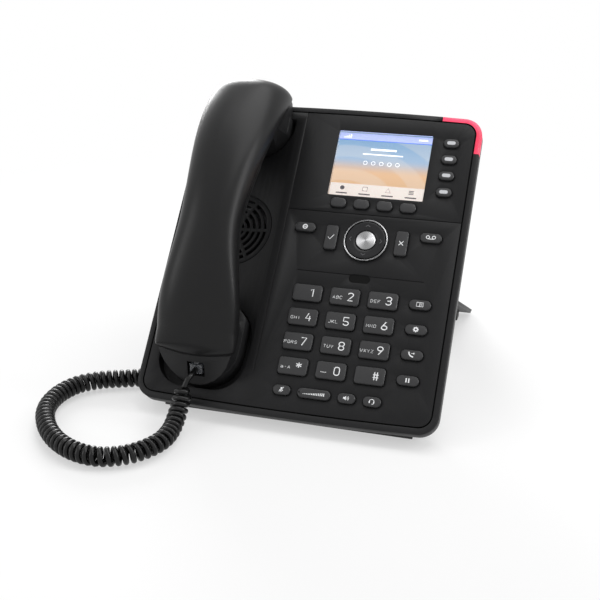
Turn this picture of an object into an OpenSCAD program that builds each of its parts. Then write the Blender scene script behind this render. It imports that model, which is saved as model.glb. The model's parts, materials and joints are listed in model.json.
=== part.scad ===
// Desk telephone with a corded handset, a colour display and a clip-in stand.
// The case lies in its own face frame (X right, Y up the slope, Z out of the
// faceplate) and is tilted back over the foot strip, whose underside centre is
// the origin.  Lengths are in millimetres and +Z is up.

/* [Case] */
// Width of the case across the front rim
case_w = 179.8; // [176:0.2:184]
// Length of the case from its lower to its upper edge
case_l = 200; // [197:0.5:210]
// Radius of the four case corners
case_r = 11.5; // [9:0.5:14]
// Outward bow of the upper and lower edges
edge_bow = 1.8; // [1:0.1:3]
// Width of the front rim
rim_w = 3.4; // [3:0.1:4.5]
// Depth of the front frame
frame_d = 8; // [7.5:0.1:9.5]
// Width of the shadow gap between rim and faceplate
groove_w = 0.8; // [0.5:0.1:1.2]
// Wall of the rear housing
wall = 2.2; // [1.8:0.1:2.8]
// Depth of the case at its lower part
lower_d = 18; // [17:0.5:22]
// Depth of the case at its upper part
upper_d = 31; // [29:0.5:36]
// Slope length from the lower edge to the socket step
step_y = 70; // [66:0.5:74]
// Tilt of the face from the table
tilt = 47; // [45:0.5:49]
// Height of the lower rim edge over the table
edge_h = 9.3; // [8.6:0.1:10.5]

/* [Faceplate] */
// Thickness of the faceplate
plate_t = 2.2; // [1.8:0.1:2.6]
// Clearance round each key in its hole
key_gap = 0.3; // [0.25:0.05:0.45]
// Width of the crease lines in the faceplate
crease_w = 0.5; // [0.3:0.1:0.8]

/* [Display] */
// Width of the lit area
screen_w = 57.6; // [54:0.2:60]
// Height of the lit area
screen_h = 43.2; // [41:0.2:44]
// Distance of the display centre from the right side of the case
screen_x = 58.1; // [57:0.1:59.5]
// Distance of the display centre from the upper edge of the case
screen_y = 37; // [36:0.5:38]

/* [Keys] */
// Height of the key caps over the faceplate
key_rise = 1.6; // [1.2:0.1:2]
// Travel of the keys
key_travel = 0.8; // [0.5:0.1:1]
// Width of a dial key
dial_w = 17.6; // [15:0.2:18.6]
// Height of a dial key
dial_h = 10.4; // [9:0.2:11]
// Distance between dial key columns
dial_pitch_x = 22.6; // [21.6:0.1:23]
// Distance between dial key rows
dial_pitch_y = 15.1; // [14.2:0.1:15.4]
// Length of the pill keys beside the dial
pill_w = 12.9; // [11:0.1:13.5]
// Height of the pill keys
pill_h = 5.9; // [5:0.1:6.4]
// Length of the small keys in the lowest row
small_w = 10.6; // [9.6:0.1:11]
// Length of the volume rocker
rocker_w = 19.6; // [18:0.1:20.4]
// Length of a line key
line_w = 9.4; // [8.6:0.1:10]
// Height of a line key
line_h = 5.6; // [5:0.1:6]
// Length of a soft key
soft_w = 9.8; // [9:0.1:10.6]
// Height of a soft key
soft_h = 6; // [5.4:0.1:6.4]
// Width of the confirm and cancel keys
side_w = 7.6; // [6.8:0.1:8]
// Length of the confirm and cancel keys
side_h = 15.6; // [14:0.1:17]

/* [Navigation] */
// Outer radius of the bright ring
ring_r = 13.3; // [12.6:0.1:13.8]
// Width of the bright ring
ring_w = 1; // [0.8:0.1:1.4]
// Radius of the centre button
ok_r = 5.9; // [5.2:0.1:6.4]

/* [Cradle] */
// Distance of the handset's centre line from the left side of the case
cradle_x = 37.1; // [36.5:0.1:37.5]
// Depth of the hollow under the handset
hollow_d = 6; // [5:0.2:6.6]
// Half width of the hollow
hollow_half = 30; // [28:0.2:31]
// Width of the cup under the mouth end
cup_w = 54; // [53.6:0.2:54.6]
// Depth of the two handset cups
cup_d = 8.5; // [8:0.1:9.5]
// Radius of the loudspeaker grille
grille_r = 24; // [22:0.5:25]
// Distance of the grille centre from the upper edge of the case
grille_y = 85; // [83:0.5:88]
// Rings of slots in the grille
grille_rows = 5; // [4:1:5]
// Width of a grille slot
slot_w = 2.1; // [1.6:0.1:2.4]

/* [Handset] */
// Slope height of the handset's lower tip
hs_low = 12; // [11.8:0.1:13]
// Length of the handset
hs_len = 196; // [194:0.5:198]
// Width of the handset at the ear end
ear_w = 50; // [49:0.2:51]
// Width of the handset at the mouth end
mouth_w = 49.6; // [48.6:0.2:50.4]
// Width of the handset at its waist
waist_w = 36.6; // [35:0.2:39]
// Height of the handset back over the faceplate
hs_top = 50; // [47:0.5:53]
// Height of the seam between the handset shells at the waist
seam_top = 35; // [33:0.5:37]
// Wall of the handset shells
hs_wall = 2.2; // [1.8:0.1:2.6]
// Lift of the handset out of its cradle
hs_lift = 60; // [40:5:80]

/* [Stand] */
// Reach of the stand from the case to its tip
stand_l = 121; // [112:1:128]
// Width of the stand at its tip
stand_w = 165.4; // [152:0.2:168]
// Thickness of the stand plate
stand_t = 3; // [2.4:0.1:3.6]
// Height of the feet
foot_h = 2; // [1.6:0.1:2.4]

/* [Cord] */
// Diameter of the straight cord ends
cord_d = 3.2; // [2.8:0.1:3.6]
// Outer diameter of the curly cord
coil_d = 11.4; // [10:0.1:11.6]

/* [Hidden] */
$fn = 48;
FINE = 96;      // facets of the large circles
SOFT = 16;      // facets round a hulled corner
EPS = 0.01;
TOUCH = 0.25;   // gap between pieces that seat on each other

// ---- case ----
bow_r = (pow(case_w / 2, 2) + pow(edge_bow, 2)) / (2 * edge_bow);
rim_chamfer = 0.8;
ledge_w = 2;
ledge_t = 1.6;
back_inset = 2.4;      // the rear housing stands back from the rim
back_slope = 6;        // the rear housing narrows by this towards its back
back_round = 12;       // slope of its upper end
foot_y = 14.6;         // centre of the foot strip behind the face's lower edge
foot_strip = [150, 5];
plate_inset = rim_w + groove_w;
plate_c = 0.3;         // clearance of the faceplate under its ledge

// ---- key layout, in the face frame ----
// sum of the first n values
function total(v, n) = n <= 0 ? 0 : v[n - 1] + total(v, n - 1);
// middle of piece i of a row: the pieces keep their sizes, and what they leave
// free between the two ends is shared out in proportion to the gaps
function in_row(ends, sizes, gaps, i) =
    let (free = ends[1] - ends[0] - total(sizes, len(sizes)))
    ends[0] + total(sizes, i) + sizes[i] / 2 + free * total(gaps, i + 1) / total(gaps, len(gaps));

handset_x = case_w / 2 - cradle_x;
display = [case_w / 2 - screen_x, case_l - screen_y];
cradle_edge = 32.7 - handset_x;
plate_right = case_w / 2 - plate_inset;
face_ends = [cradle_edge, plate_right];

soft_gap = 2.8;        // between the lit area and the soft keys
soft_pitch = 14.2;
soft_y = display[1] - screen_h / 2 - soft_gap - soft_h / 2;
line_gap = 7.4;        // between the lit area and the line keys
line_x = display[0] + screen_w / 2 + line_gap + line_w / 2;
line_top = 17.4;       // first line key over the display centre
line_pitch = 10.9;

// up the slope: low row, dial, slit, navigation ring, crease
rise_ends = [plate_inset, soft_y - soft_h / 2];
rise_sizes = [pill_h, 3 * dial_pitch_y + dial_h, 0, 2 * ring_r, 0];
rise_gaps = [8.75, 6.55, 8.8, 9.3, 3.2, 3.6];
function rise(i) = in_row(rise_ends, rise_sizes, rise_gaps, i);
low_y = rise(0);
dial_y = rise(1) + 1.5 * dial_pitch_y;
slit_y = rise(2);
crease_y = rise(4);

// across: dial and side keys
dial_sizes = [2 * dial_pitch_x + dial_w, pill_w];
dial_gaps = [14.1, 6.45, 9.55];
dial_x = in_row(face_ends, dial_sizes, dial_gaps, 0) - dial_pitch_x;
side_x = in_row(face_ends, dial_sizes, dial_gaps, 1);
function dial_pos(i) = [dial_x + dial_pitch_x * (i % 3), dial_y - dial_pitch_y * floor(i / 3)];
function side_pos(i) = [side_x, dial_y - dial_pitch_y * i];

// across: do-not-disturb key, confirm key, navigation ring and cancel key
nav_ends = [cradle_edge, side_x - pill_w / 2];
nav_sizes = [pill_w, side_w, 2 * ring_r, side_w];
nav_gaps = [7.05, 6.65, 4.1, 4.3, 6.55];
function nav_x(i) = in_row(nav_ends, nav_sizes, nav_gaps, i);
nav = [nav_x(2), rise(3)];
confirm_pos = [nav_x(1), nav[1]];
cancel_pos = [nav_x(3), nav[1]];
pill_over = 5.2;       // the pill keys lie this far over the ring's centre
dnd_pos = [nav_x(0), nav[1] + pill_over];
voicemail_pos = [side_x, nav[1] + pill_over];

// across: lowest row
low_sizes = [small_w, rocker_w, small_w, small_w];
low_gaps = [13.8, 4, 3.9, 4.1, 28.6];
function low_pos(i) = [in_row(face_ends, low_sizes, low_gaps, i), low_y];
mute_pos = low_pos(0);
rocker_pos = low_pos(1);
speaker_pos = low_pos(2);
headset_pos = low_pos(3);
function line_pos(i) = [line_x, display[1] + line_top - line_pitch * i];
function soft_pos(i) = [display[0] + soft_pitch * (i - 1.5), soft_y];

dial_size = [dial_w, dial_h, 1.8];
pill_size = [pill_w, pill_h, pill_h / 2 - 0.05];
small_size = [small_w, pill_h, pill_h / 2 - 0.05];
rocker_size = [rocker_w, pill_h, pill_h / 2 - 0.05];
line_size = [line_w, line_h, line_h / 2 - 0.05];
soft_size = [soft_w, soft_h, 2.6];
side_size = [side_w, side_h, 1.5];

// every key as [position, [width, height, corner radius]]
KEYS = concat(
    [for (i = [0:11]) [dial_pos(i), dial_size]],
    [for (i = [0:3]) [side_pos(i), pill_size]],
    [for (i = [0:3]) [line_pos(i), line_size]],
    [for (i = [0:3]) [soft_pos(i), soft_size]],
    [[confirm_pos, side_size], [cancel_pos, side_size], [dnd_pos, pill_size],
     [voicemail_pos, pill_size], [mute_pos, small_size], [rocker_pos, rocker_size],
     [speaker_pos, small_size], [headset_pos, small_size]]);

flange_w = 0.9;        // the key's flange under the plate
flange_t = 1;
key_bottom = -plate_t - TOUCH - flange_t;
pip_r = 1.6;
pip_h = 0.4;
pip_top = key_bottom - key_travel - 0.15;
mat_top = pip_top - pip_h;
mat_t = 1.1;
board_t = 1.6;
board_top = mat_top - mat_t;

// ---- cradle ----
hollow_r = (pow(hollow_half, 2) + pow(hollow_d, 2)) / (2 * hollow_d);
hollow_x = 2 - handset_x;
block_d = cup_d + 2;
cup_low = [10.4, 66];
cup_high = case_l - 9.2;      // upper end of the cup under the ear end
ear_cup_r = 26;
ear_cup_y = cup_high - 1.3;
grille_c = [-handset_x, case_l - grille_y];

// ---- handset sections ----
waist_y = grille_c[1];
narrow_y = waist_y - 13;      // the narrowest place
wide_low = 57;         // the width grows over these lengths to either side
wide_high = 82;
seam_r = 155;
seam_low = 15;         // height of the seam at the mouth end
back_r = 195;
back_low_r = 150;      // the back falls faster towards the mouth
end_lean = 45;         // the set-back mouth end leans back by this angle
hood = 13.4;           // the outer shell ends this far up from the tip
hood_r = 90;           // radii of the rounded ends, seen from above
mouth_r = 24.5;
ear_end_r = 42;
hs_high = hs_low + hs_len;
ear_taper = 18;        // length over which the ear end rounds off
hood_taper = 6;
cap_inset = 0.5;       // the lower part is narrower than the seam
cap_drop = cup_d - TOUCH;
grip_t = 3.6;

// ---- placing ----
module on_face() {
    translate([0, -foot_y, edge_h]) rotate([tilt, 0, 0]) children();
}

// a point of the face frame in the part's own frame
function from_face(p) = [p[0],
    p[1] * cos(tilt) - p[2] * sin(tilt) - foot_y,
    p[1] * sin(tilt) + p[2] * cos(tilt) + edge_h];

// ---- shared shapes ----
// rectangle with round corners, centred
module round_rect(size, r) {
    square([size[0], size[1] - 2 * r], center = true);
    square([size[0] - 2 * r, size[1]], center = true);
    for (sx = [-1, 1], sy = [-1, 1])
        translate([sx * (size[0] / 2 - r), sy * (size[1] / 2 - r)]) circle(r = r);
}

// outline of the case, inset all round by g
module case_outline(g) {
    half = case_w / 2 - g;
    r = max(case_r - g, 2);
    bow = edge_bow * pow((half - r) / (case_w / 2), 2);
    translate([0, case_l / 2]) {
        round_rect([2 * half, case_l - 2 * g - 2 * bow], r);
        for (s = [-1, 1]) intersection() {
            translate([0, s * (case_l / 2 - g - bow_r)])
                circle(r = bow_r, $fn = 20 * FINE);
            translate([0, s * (case_l / 4)])
                square([2 * (half - r), case_l / 2], center = true);
        }
    }
}

// slab of an outline between two depths
module slab(z0, z1) {
    translate([0, 0, z0]) linear_extrude(height = z1 - z0) children();
}

// key top with a draft and an eased upper edge
module key_dome(size) {
    draft = 0.2;
    ease = 0.45;
    hull() {
        slab(-plate_t, EPS) round_rect([size[0], size[1]], size[2], $fn = SOFT);
        slab(key_rise - ease, key_rise - ease + EPS)
            round_rect([size[0] - draft, size[1] - draft], size[2] - draft / 2, $fn = SOFT);
        slab(key_rise - EPS, key_rise)
            round_rect([size[0] - draft - 2 * ease, size[1] - draft - 2 * ease],
                size[2] - draft / 2 - ease, $fn = SOFT);
    }
}

// key cap: its dome and the flange that holds it under the plate
module key_cap(size) {
    key_dome(size);
    slab(key_bottom, -plate_t + EPS - TOUCH)
        round_rect([size[0] + flange_w, size[1] + flange_w], size[2], $fn = SOFT);
    slab(-plate_t - TOUCH, -plate_t) round_rect([size[0] - 1, size[1] - 1], size[2] - 0.6, $fn = SOFT);
}

module key_at(pos, size, tint = "#3c3c3e") {
    color(tint) on_face() translate([pos[0], pos[1], 0]) key_cap(size);
}

module dial_key(i) key_at(dial_pos(i), dial_size);

// rocker key: its flange is short, so that both ends can dip
module rocker_key() {
    hinge_l = 9;
    color("#3c3c3e") on_face() translate([rocker_pos[0], rocker_pos[1], 0]) {
        key_dome(rocker_size);
        slab(key_bottom, -plate_t + EPS - TOUCH) square([hinge_l, rocker_size[1] + flange_w], center = true);
        slab(-plate_t - TOUCH, -plate_t) square([hinge_l - 2, rocker_size[1] - 1], center = true);
    }
}

// pill key with a clear lens let into its top
module line_key(i) {
    lens = [5.2, 2.4];
    lens_t = 0.6;
    pos = line_pos(i);
    color("#3c3c3e") on_face() translate([pos[0], pos[1], 0]) difference() {
        key_cap(line_size);
        slab(key_rise - lens_t, key_rise + 1) round_rect(lens, lens[1] / 2 - 0.02);
    }
    color("white") on_face() translate([pos[0], pos[1], 0])
        slab(key_rise - lens_t, key_rise) round_rect(lens, lens[1] / 2 - 0.02);
}

// ---- case ----
// body of the rear housing, inset all round by g
module back_form(g) {
    base = frame_d;
    intersection() {
        slab(-upper_d + g, -base) case_outline(back_inset + g);
        rotate([90, 0, 90]) translate([0, 0, -case_w / 2]) linear_extrude(height = case_w)
            polygon([[0, -base + EPS], [0, -lower_d + g], [step_y + g, -lower_d + g],
                [step_y + g, -upper_d + g], [case_l - back_round, -upper_d + g],
                [case_l, -lower_d + g], [case_l, -base + EPS]]);
        rotate([90, 0, 0]) translate([0, 0, -case_l]) linear_extrude(height = case_l)
            polygon([[-case_w / 2 + back_inset + g, -base + EPS],
                [-case_w / 2 + back_inset + g, -base - 3],
                [-case_w / 2 + back_inset + back_slope + g, -upper_d],
                [case_w / 2 - back_inset - back_slope - g, -upper_d],
                [case_w / 2 - back_inset - g, -base - 3],
                [case_w / 2 - back_inset - g, -base + EPS]]);
    }
}

// everything under the height h over the table
module under(h) {
    translate([-case_w, -2 * case_l, h - 4 * case_l]) cube([2 * case_w, 6 * case_l, 4 * case_l]);
}

SCREWS = [[14.7 - case_w / 2, cup_low[1] + 12], [14.7 - case_w / 2, case_l - 50],
    [case_w / 2 - 22.7, 12.5], [case_w / 2 - 22.7, case_l - 10]];
screw_r = 1.5;
boss_r = 3.4;
boss_split = 11;       // the plate's bosses meet the housing's at this depth
head_r = 2.7;
head_h = 1.9;
head_seat = 3.2;       // housing wall under the screw heads
screw_bite = 3.4;      // length of screw in the plate's boss
screw_slack = 0.12;

module at_screws() {
    for (p = SCREWS) translate([p[0], p[1], 0]) children();
}

// sockets as [x, width of the mouth, height of the mouth]
lan = [14, 11.8, 7.4];
pc = [34, 11.8, 7.4];
headset_jack = [-44, 7.8, 6.2];
handset_jack = [-58.8, 7.8, 6.2];
power = [-16, 6.2];
jack_z = -(lower_d + upper_d) / 2 + 1;
jack_deep = 18;
mouth_deep = 12;
slot_y = 98;
slot_pitch = 26;
slot_x = 52;
hook_w = 12;
hook_t = 2.4;
hook_deep = 5;

module rear_housing() {
    color("#232325") difference() {
        on_face() difference() {
            union() {
                difference() {
                    back_form(0);
                    translate([0, 0, 2 * EPS]) back_form(wall);
                }
                intersection() {
                    back_form(0);
                    at_screws() slab(-upper_d, -boss_split - TOUCH) circle(r = boss_r);
                }
            }
            at_screws() {
                slab(-upper_d - 1, 0) circle(r = screw_r + screw_slack);
                slab(-upper_d - 1, -boss_split - TOUCH - head_seat) circle(r = head_r + screw_slack);
            }
            for (j = [lan, pc, headset_jack, handset_jack])
                translate([j[0], step_y + wall / 2, jack_z])
                    cube([j[1] + 1.2, wall + 2, j[2] + 1.2], center = true);
            translate([power[0], step_y + wall / 2, jack_z]) rotate([90, 0, 0])
                cylinder(r = power[1] / 2 + 0.6, h = wall + 2, center = true);
            for (s = [-1, 1], n = [0, 1])
                translate([s * slot_x, slot_y + n * slot_pitch, -upper_d + wall / 2])
                    cube([hook_w + 1, hook_t + 1.4, wall + 2], center = true);
            vents();
        }
        under(foot_h);
    }
}

vent_n = 9;
vent_pitch = 4.2;
module vents() {
    for (s = [-1, 1], n = [0:vent_n - 1])
        translate([s * 22 + 0, case_l - 32 - n * vent_pitch, -upper_d + wall / 2])
            cube([26, 1.8, wall + 2], center = true);
}

module front_frame() {
    light_w = rim_w + 1;
    color("#2e2e30") on_face() {
        difference() {
            union() {
                slab(-frame_d, -rim_chamfer) case_outline(0);
                slab(-rim_chamfer - EPS, 0) case_outline(0.35);
            }
            slab(-frame_d - 1, 1) case_outline(rim_w + ledge_w);
            slab(-plate_t - plate_c - EPS, 1) case_outline(rim_w);
            light_cut(0.1);
        }
    }
}

// the alert light fills the upper right corner of the rim
light_x = case_w / 2 - 24.9;
light_y = case_l - 25;
light_d = 4.6;
module light_cut(g) {
    intersection() {
        slab(-light_d - g, 1) difference() {
            case_outline(-1);
            case_outline(rim_w - g);
        }
        translate([light_x - g, light_y - g, -light_d - g]) cube([case_w, case_l, 2 * light_d]);
    }
}

module alert_light() {
    color("#e03048") on_face() intersection() {
        union() {
            slab(-light_d, -rim_chamfer) difference() {
                case_outline(0);
                case_outline(rim_w - 0.1);
            }
            slab(-rim_chamfer - EPS, 0) difference() {
                case_outline(0.35);
                case_outline(rim_w - 0.1);
            }
        }
        translate([light_x, light_y, -light_d]) cube([case_w, case_l, 2 * light_d]);
    }
}

// ---- faceplate ----
// outline of the mouth cup, inset all round by g; its two ends have their own radii
module cup_outline(span, r0, r1, g) {
    half = cup_w / 2 - g;
    a = r0 - g;
    b = r1 - g;
    y0 = span[0] + g;
    y1 = span[1] - g;
    translate([-handset_x, 0]) {
        for (s = [-1, 1]) {
            translate([s * (half - a), y0 + a]) circle(r = a);
            translate([s * (half - b), y1 - b]) circle(r = b);
        }
        polygon([[half, y0 + a], [half, y1 - b], [half - b, y1], [b - half, y1],
            [-half, y1 - b], [-half, y0 + a], [a - half, y0], [half - a, y0]]);
    }
}
module mouth_cup(g = 0) cup_outline(cup_low, 18, 24, g);
// outline of the ear cup: a circle with a straight upper side
module ear_cup(g = 0) translate([-handset_x, 0]) intersection() {
    translate([0, ear_cup_y]) circle(r = ear_cup_r - g, $fn = FINE);
    translate([-ear_cup_r, 0]) square([2 * ear_cup_r, cup_high - g]);
}

// round-bottomed hollow under the grip, with a ramp at either end
plate_start = 24.7;    // the crease beside the dial starts here
hollow_low = [plate_start, cup_low[1] - 4];
hollow_high = [case_l - 8, case_l - 30];
module hollow() {
    intersection() {
        translate([hollow_x, 0, hollow_r - hollow_d]) rotate([-90, 0, 0])
            cylinder(r = hollow_r, h = case_l, $fn = 2 * FINE);
        over_ramp(hollow_low);
        over_ramp(hollow_high);
    }
}
// everything over a plane that falls to the hollow's floor from end[0] to end[1]
module over_ramp(end) {
    translate([-case_w, end[0], 0]) rotate([-atan(hollow_d / (end[1] - end[0])), 0, 0])
        translate([0, -3 * case_l, 0]) cube([2 * case_w, 6 * case_l, case_l]);
}

module grille_slots() {
    rows = grille_rows;
    pitch = (grille_r - 3) / (rows + 0.6);
    spoke_w = 2;
    difference() {
        for (i = [1:rows]) difference() {
            circle(r = i * pitch + slot_w / 2 + 1, $fn = FINE);
            circle(r = i * pitch - slot_w / 2 + 1, $fn = FINE);
        }
        for (a = [0:60:120]) rotate(a) square([2 * grille_r + 2, spoke_w], center = true);
    }
}

hook_pos = [-handset_x, case_l - 28];
hook_size = [8, 5];

module faceplate() {
    crease_d = 0.5;
    notch = [13, 5.4];
    color("#303032") on_face() difference() {
        union() {
            slab(-plate_t, 0) case_outline(plate_inset);
            intersection() {
                slab(-block_d, 0) case_outline(plate_inset + ledge_w + 0.4);
                translate([-case_w, 0, -block_d]) cube([case_w + cradle_edge, case_l, block_d]);
            }
            at_screws() slab(-boss_split, -EPS) circle(r = boss_r);
        }
        at_screws() slab(-boss_split - 1, -boss_split + screw_bite + 0.4) circle(r = screw_r - 0.2 + screw_slack);
        // the hollow starts at the crease beside the dial
        intersection() {
            hollow();
            translate([-case_w / 2, 0, -case_l]) cube([case_w / 2 + cradle_edge, 2 * case_l, 2 * case_l]);
        }
        slab(-cup_d, 1) mouth_cup();
        slab(-cup_d, 1) ear_cup();
        translate([grille_c[0], grille_c[1], 0]) {
            slab(-block_d - 1, 1) grille_slots();
            slab(-hollow_d - 0.5, 1) difference() {
                circle(r = grille_r, $fn = FINE);
                circle(r = grille_r - 0.5, $fn = FINE);
            }
        }
        translate([hook_pos[0], hook_pos[1], -block_d])
            cube([hook_size[0] + 2 * key_gap, hook_size[1] + 2 * key_gap, 4 * block_d], center = true);
        for (k = KEYS) translate([k[0][0], k[0][1], 0]) slab(-plate_t - 1, 1)
            round_rect([k[1][0] + 2 * key_gap, k[1][1] + 2 * key_gap], k[1][2] + key_gap);
        translate([nav[0], nav[1], -plate_t - 1]) cylinder(r = ring_r + 0.1, h = plate_t + 2, $fn = FINE);
        translate([display[0], display[1], 0]) slab(-plate_t - 1, 1)
            round_rect([screen_w + 1, screen_h + 1], 0.8);
        // crease lines
        translate([cradle_edge, plate_start, -crease_d]) cube([crease_w, case_l, 2]);
        translate([cradle_edge, crease_y, -crease_d]) cube([case_w, crease_w, 2]);
        translate([dnd_pos[0], slit_y, -crease_d]) cube([side_x - dnd_pos[0], crease_w, 2]);
        translate([nav[0] + 0.3, slit_y - notch[1] / 2 + 1, 0]) slab(-0.6, 1) round_rect(notch, notch[1] / 2 - 0.1);
    }
}

module display_window() {
    color([0.1, 0.12, 0.16, 0.6]) on_face() translate([display[0], display[1], 0])
        slab(-plate_t, -0.1) round_rect([screen_w + 0.7, screen_h + 0.7], 0.65);
}

module display_module() {
    border = [5.6, 6.4];
    module_t = 3.2;
    color("#b8bcc0") on_face() translate([display[0], display[1] - 0.6, 0])
        slab(-plate_t - TOUCH - module_t, -plate_t - TOUCH)
            round_rect([screen_w + border[0], screen_h + border[1] - 4], 0.6);
}

// ---- navigation keys ----
pad_r = ring_r - ring_w - 0.4;
module nav_ring() {
    seat = 0.6;
    color("#d8d8da") on_face() translate([nav[0], nav[1], 0]) {
        translate([0, 0, -plate_t]) rotate_extrude($fn = FINE)
            polygon([[ring_r - ring_w, 0], [ring_r, 0], [ring_r, plate_t + key_rise - 0.3],
                [ring_r - 0.3, plate_t + key_rise], [ring_r - ring_w + 0.3, plate_t + key_rise],
                [ring_r - ring_w, plate_t + key_rise - 0.3]]);
        translate([0, 0, -plate_t - TOUCH - seat]) rotate_extrude($fn = FINE)
            polygon([[ring_r - ring_w, 0], [ring_r + 1, 0], [ring_r + 1, seat],
                [ring_r, seat + TOUCH], [ring_r - ring_w, seat + TOUCH]]);
    }
}

rocker_r = [ok_r + 1.4, pad_r - 1];
rocker_top = -plate_t;
rocker_gap = 0.55;
module nav_rocker() {
    color("#c8c8c4") on_face() translate([nav[0], nav[1], 0])
        slab(rocker_top - 1.2, rocker_top) difference() {
            circle(r = rocker_r[1], $fn = FINE);
            circle(r = rocker_r[0], $fn = FINE);
        }
}

module nav_pad() {
    dish = 0.5;
    color("#2c2c2e") on_face() translate([nav[0], nav[1], 0]) rotate_extrude($fn = FINE)
        polygon([[ok_r + 0.4, rocker_top + rocker_gap], [pad_r, rocker_top + rocker_gap],
            [pad_r, key_rise - 0.5], [pad_r - 0.5, key_rise], [ok_r + 1, key_rise - dish],
            [ok_r + 0.4, key_rise - dish - 0.3]]);
}

module ok_button() {
    color("#c4c4c6") on_face() translate([nav[0], nav[1], 0]) rotate_extrude($fn = FINE)
        polygon([[0, key_bottom], [ok_r, key_bottom], [ok_r, key_rise - 0.6],
            [ok_r - 0.4, key_rise - 0.2], [0, key_rise - 0.2]]);
}

// ---- inside the case ----
module electronics_outline() {
    margin = 8.5;
    difference() {
        translate([cradle_edge + 3, margin])
            square([case_w / 2 - rim_w - ledge_w - cradle_edge - 5.6, case_l - 2 * margin]);
        at_screws() circle(r = boss_r + 0.4);
    }
}

module keypad_mat() {
    edge = 5;
    color("#8a8c90") on_face() {
        slab(mat_top - mat_t, mat_top) difference() {
            electronics_outline();
            translate([display[0] - screen_w / 2 - edge, display[1] - screen_h / 2 - edge + 0.5])
                square([screen_w + 2 * edge, case_l]);
        }
        for (k = KEYS) translate([k[0][0], k[0][1], mat_top - EPS]) cylinder(r = pip_r, h = pip_h + EPS, $fn = 24);
        translate([nav[0], nav[1], mat_top - EPS]) cylinder(r = pip_r, h = pip_h + EPS, $fn = 24);
    }
}

module main_board() {
    color("#1f5a3a") on_face() {
        slab(board_top - board_t, board_top) electronics_outline();
        for (c = [[nav[0], nav[1] - 52, 14], [nav[0] + 22, nav[1] - 22, 10], [nav[0] - 20, nav[1] + 8, 9]])
            translate([c[0], c[1], board_top - board_t - 0.6]) cube([c[2], c[2], 1.2], center = true);
    }
}

module loudspeaker() {
    cone_r = 21;
    color("#6a6a6c") on_face() translate([grille_c[0], grille_c[1], -block_d - TOUCH]) rotate([180, 0, 0])
        rotate_extrude($fn = FINE)
            polygon([[0, 1.2], [cone_r - 3, 0], [cone_r, 0], [cone_r, 1.6], [14, 5], [14, 10.5],
                [0, 10.5]]);
}

// plug-in sockets in the step of the rear housing
module socket(j) {
    body_w = j[1] + 3.4;
    low = -upper_d + wall + TOUCH - jack_z;
    translate([j[0], step_y + wall + TOUCH, jack_z]) difference() {
        translate([-body_w / 2, 0, low]) cube([body_w, jack_deep, j[2] / 2 + 2.2 - low]);
        translate([-j[1] / 2, -EPS, -j[2] / 2]) cube([j[1], mouth_deep, j[2]]);
        translate([-j[1] / 4, -EPS, j[2] / 2 - EPS]) cube([j[1] / 2, mouth_deep, 1.4]);
    }
}

module rear_jacks() {
    color("#9a9ca0") on_face() {
        socket(lan);
        socket(pc);
        translate([power[0], step_y + wall + TOUCH, jack_z]) rotate([-90, 0, 0]) difference() {
            translate([-4.6, -5.4, 0]) cube([9.2, 10.2, 13]);
            translate([0, 0, -EPS]) cylinder(r = power[1] / 2, h = 10);
        }
    }
}

module handset_jacks() {
    color("#2a2a2c") on_face() {
        socket(headset_jack);
        socket(handset_jack);
    }
}

module housing_screws() {
    seat_z = -boss_split - TOUCH - head_seat;
    color("#8c8e92") on_face() at_screws() {
        difference() {
            slab(seat_z - head_h, seat_z) circle(r = head_r);
            for (a = [0, 90]) rotate(a) translate([0, 0, seat_z - head_h]) cube([2.8, 0.6, 1.6], center = true);
        }
        slab(seat_z - EPS, -boss_split + screw_bite) circle(r = screw_r - 0.2);
    }
}

module hook_switch() {
    color("#3a3a3c") on_face() translate([hook_pos[0], hook_pos[1], 0]) {
        translate([0, 0, (-block_d - 4 - cap_drop - TOUCH) / 2])
            cube([hook_size[0], hook_size[1], block_d + 4 - cap_drop - TOUCH], center = true);
        translate([0, 0, -block_d - 4.4])
            cube([hook_size[0] + 3, hook_size[1] + 3, 0.8], center = true);
    }
}

// ---- stand ----
stand_root = from_face([0, slot_y, -upper_d - TOUCH]);
stand_drop = stand_root[2] - stand_t / 2 - 1;
stand_angle = asin(stand_drop / stand_l);
stand_top_w = stand_w - 12;
rail_w = 22;
rail_h = 5;

module on_stand() {
    translate(stand_root) rotate([-stand_angle, 0, 0]) children();
}

module stand() {
    window_l = stand_l - 46;
    color("#262628") difference() {
        union() {
            on_stand() {
                difference() {
                    slab(-stand_t, 0) polygon([[-stand_top_w / 2, 0], [stand_top_w / 2, 0],
                        [stand_w / 2, stand_l], [-stand_w / 2, stand_l]]);
                    translate([-stand_top_w / 2 + rail_w, 18, -stand_t - 1])
                        cube([stand_top_w - 2 * rail_w, window_l, stand_t + 2]);
                }
                for (s = [-1, 1], x = [stand_top_w / 2 - 8, stand_top_w / 2 - rail_w + 2])
                    translate([s * x - 1, 4, -stand_t - rail_h]) cube([2, stand_l - 22, rail_h + EPS]);
            }
            on_face() for (s = [-1, 1]) {
                translate([s * slot_x - hook_w / 2, slot_y - hook_t / 2, -upper_d - 4])
                    cube([hook_w, hook_t, 4 + hook_deep]);
                translate([s * slot_x - hook_w / 2, slot_y - hook_t / 2, -upper_d + wall + 0.4])
                    cube([hook_w, hook_t + 1, hook_deep - wall - 0.4]);
            }
        }
        under(foot_h);
        // the stand's root stays clear of the housing
        on_face() difference() {
            slab(-upper_d - TOUCH, -upper_d + 0.01 + 4 * wall) square([3 * case_w, 3 * case_l], center = true);
            for (s = [-1, 1]) translate([s * slot_x - hook_w / 2 - 0.1, slot_y - 5, -upper_d - 1])
                cube([hook_w + 0.2, 10, 20]);
        }
    }
}

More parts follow.
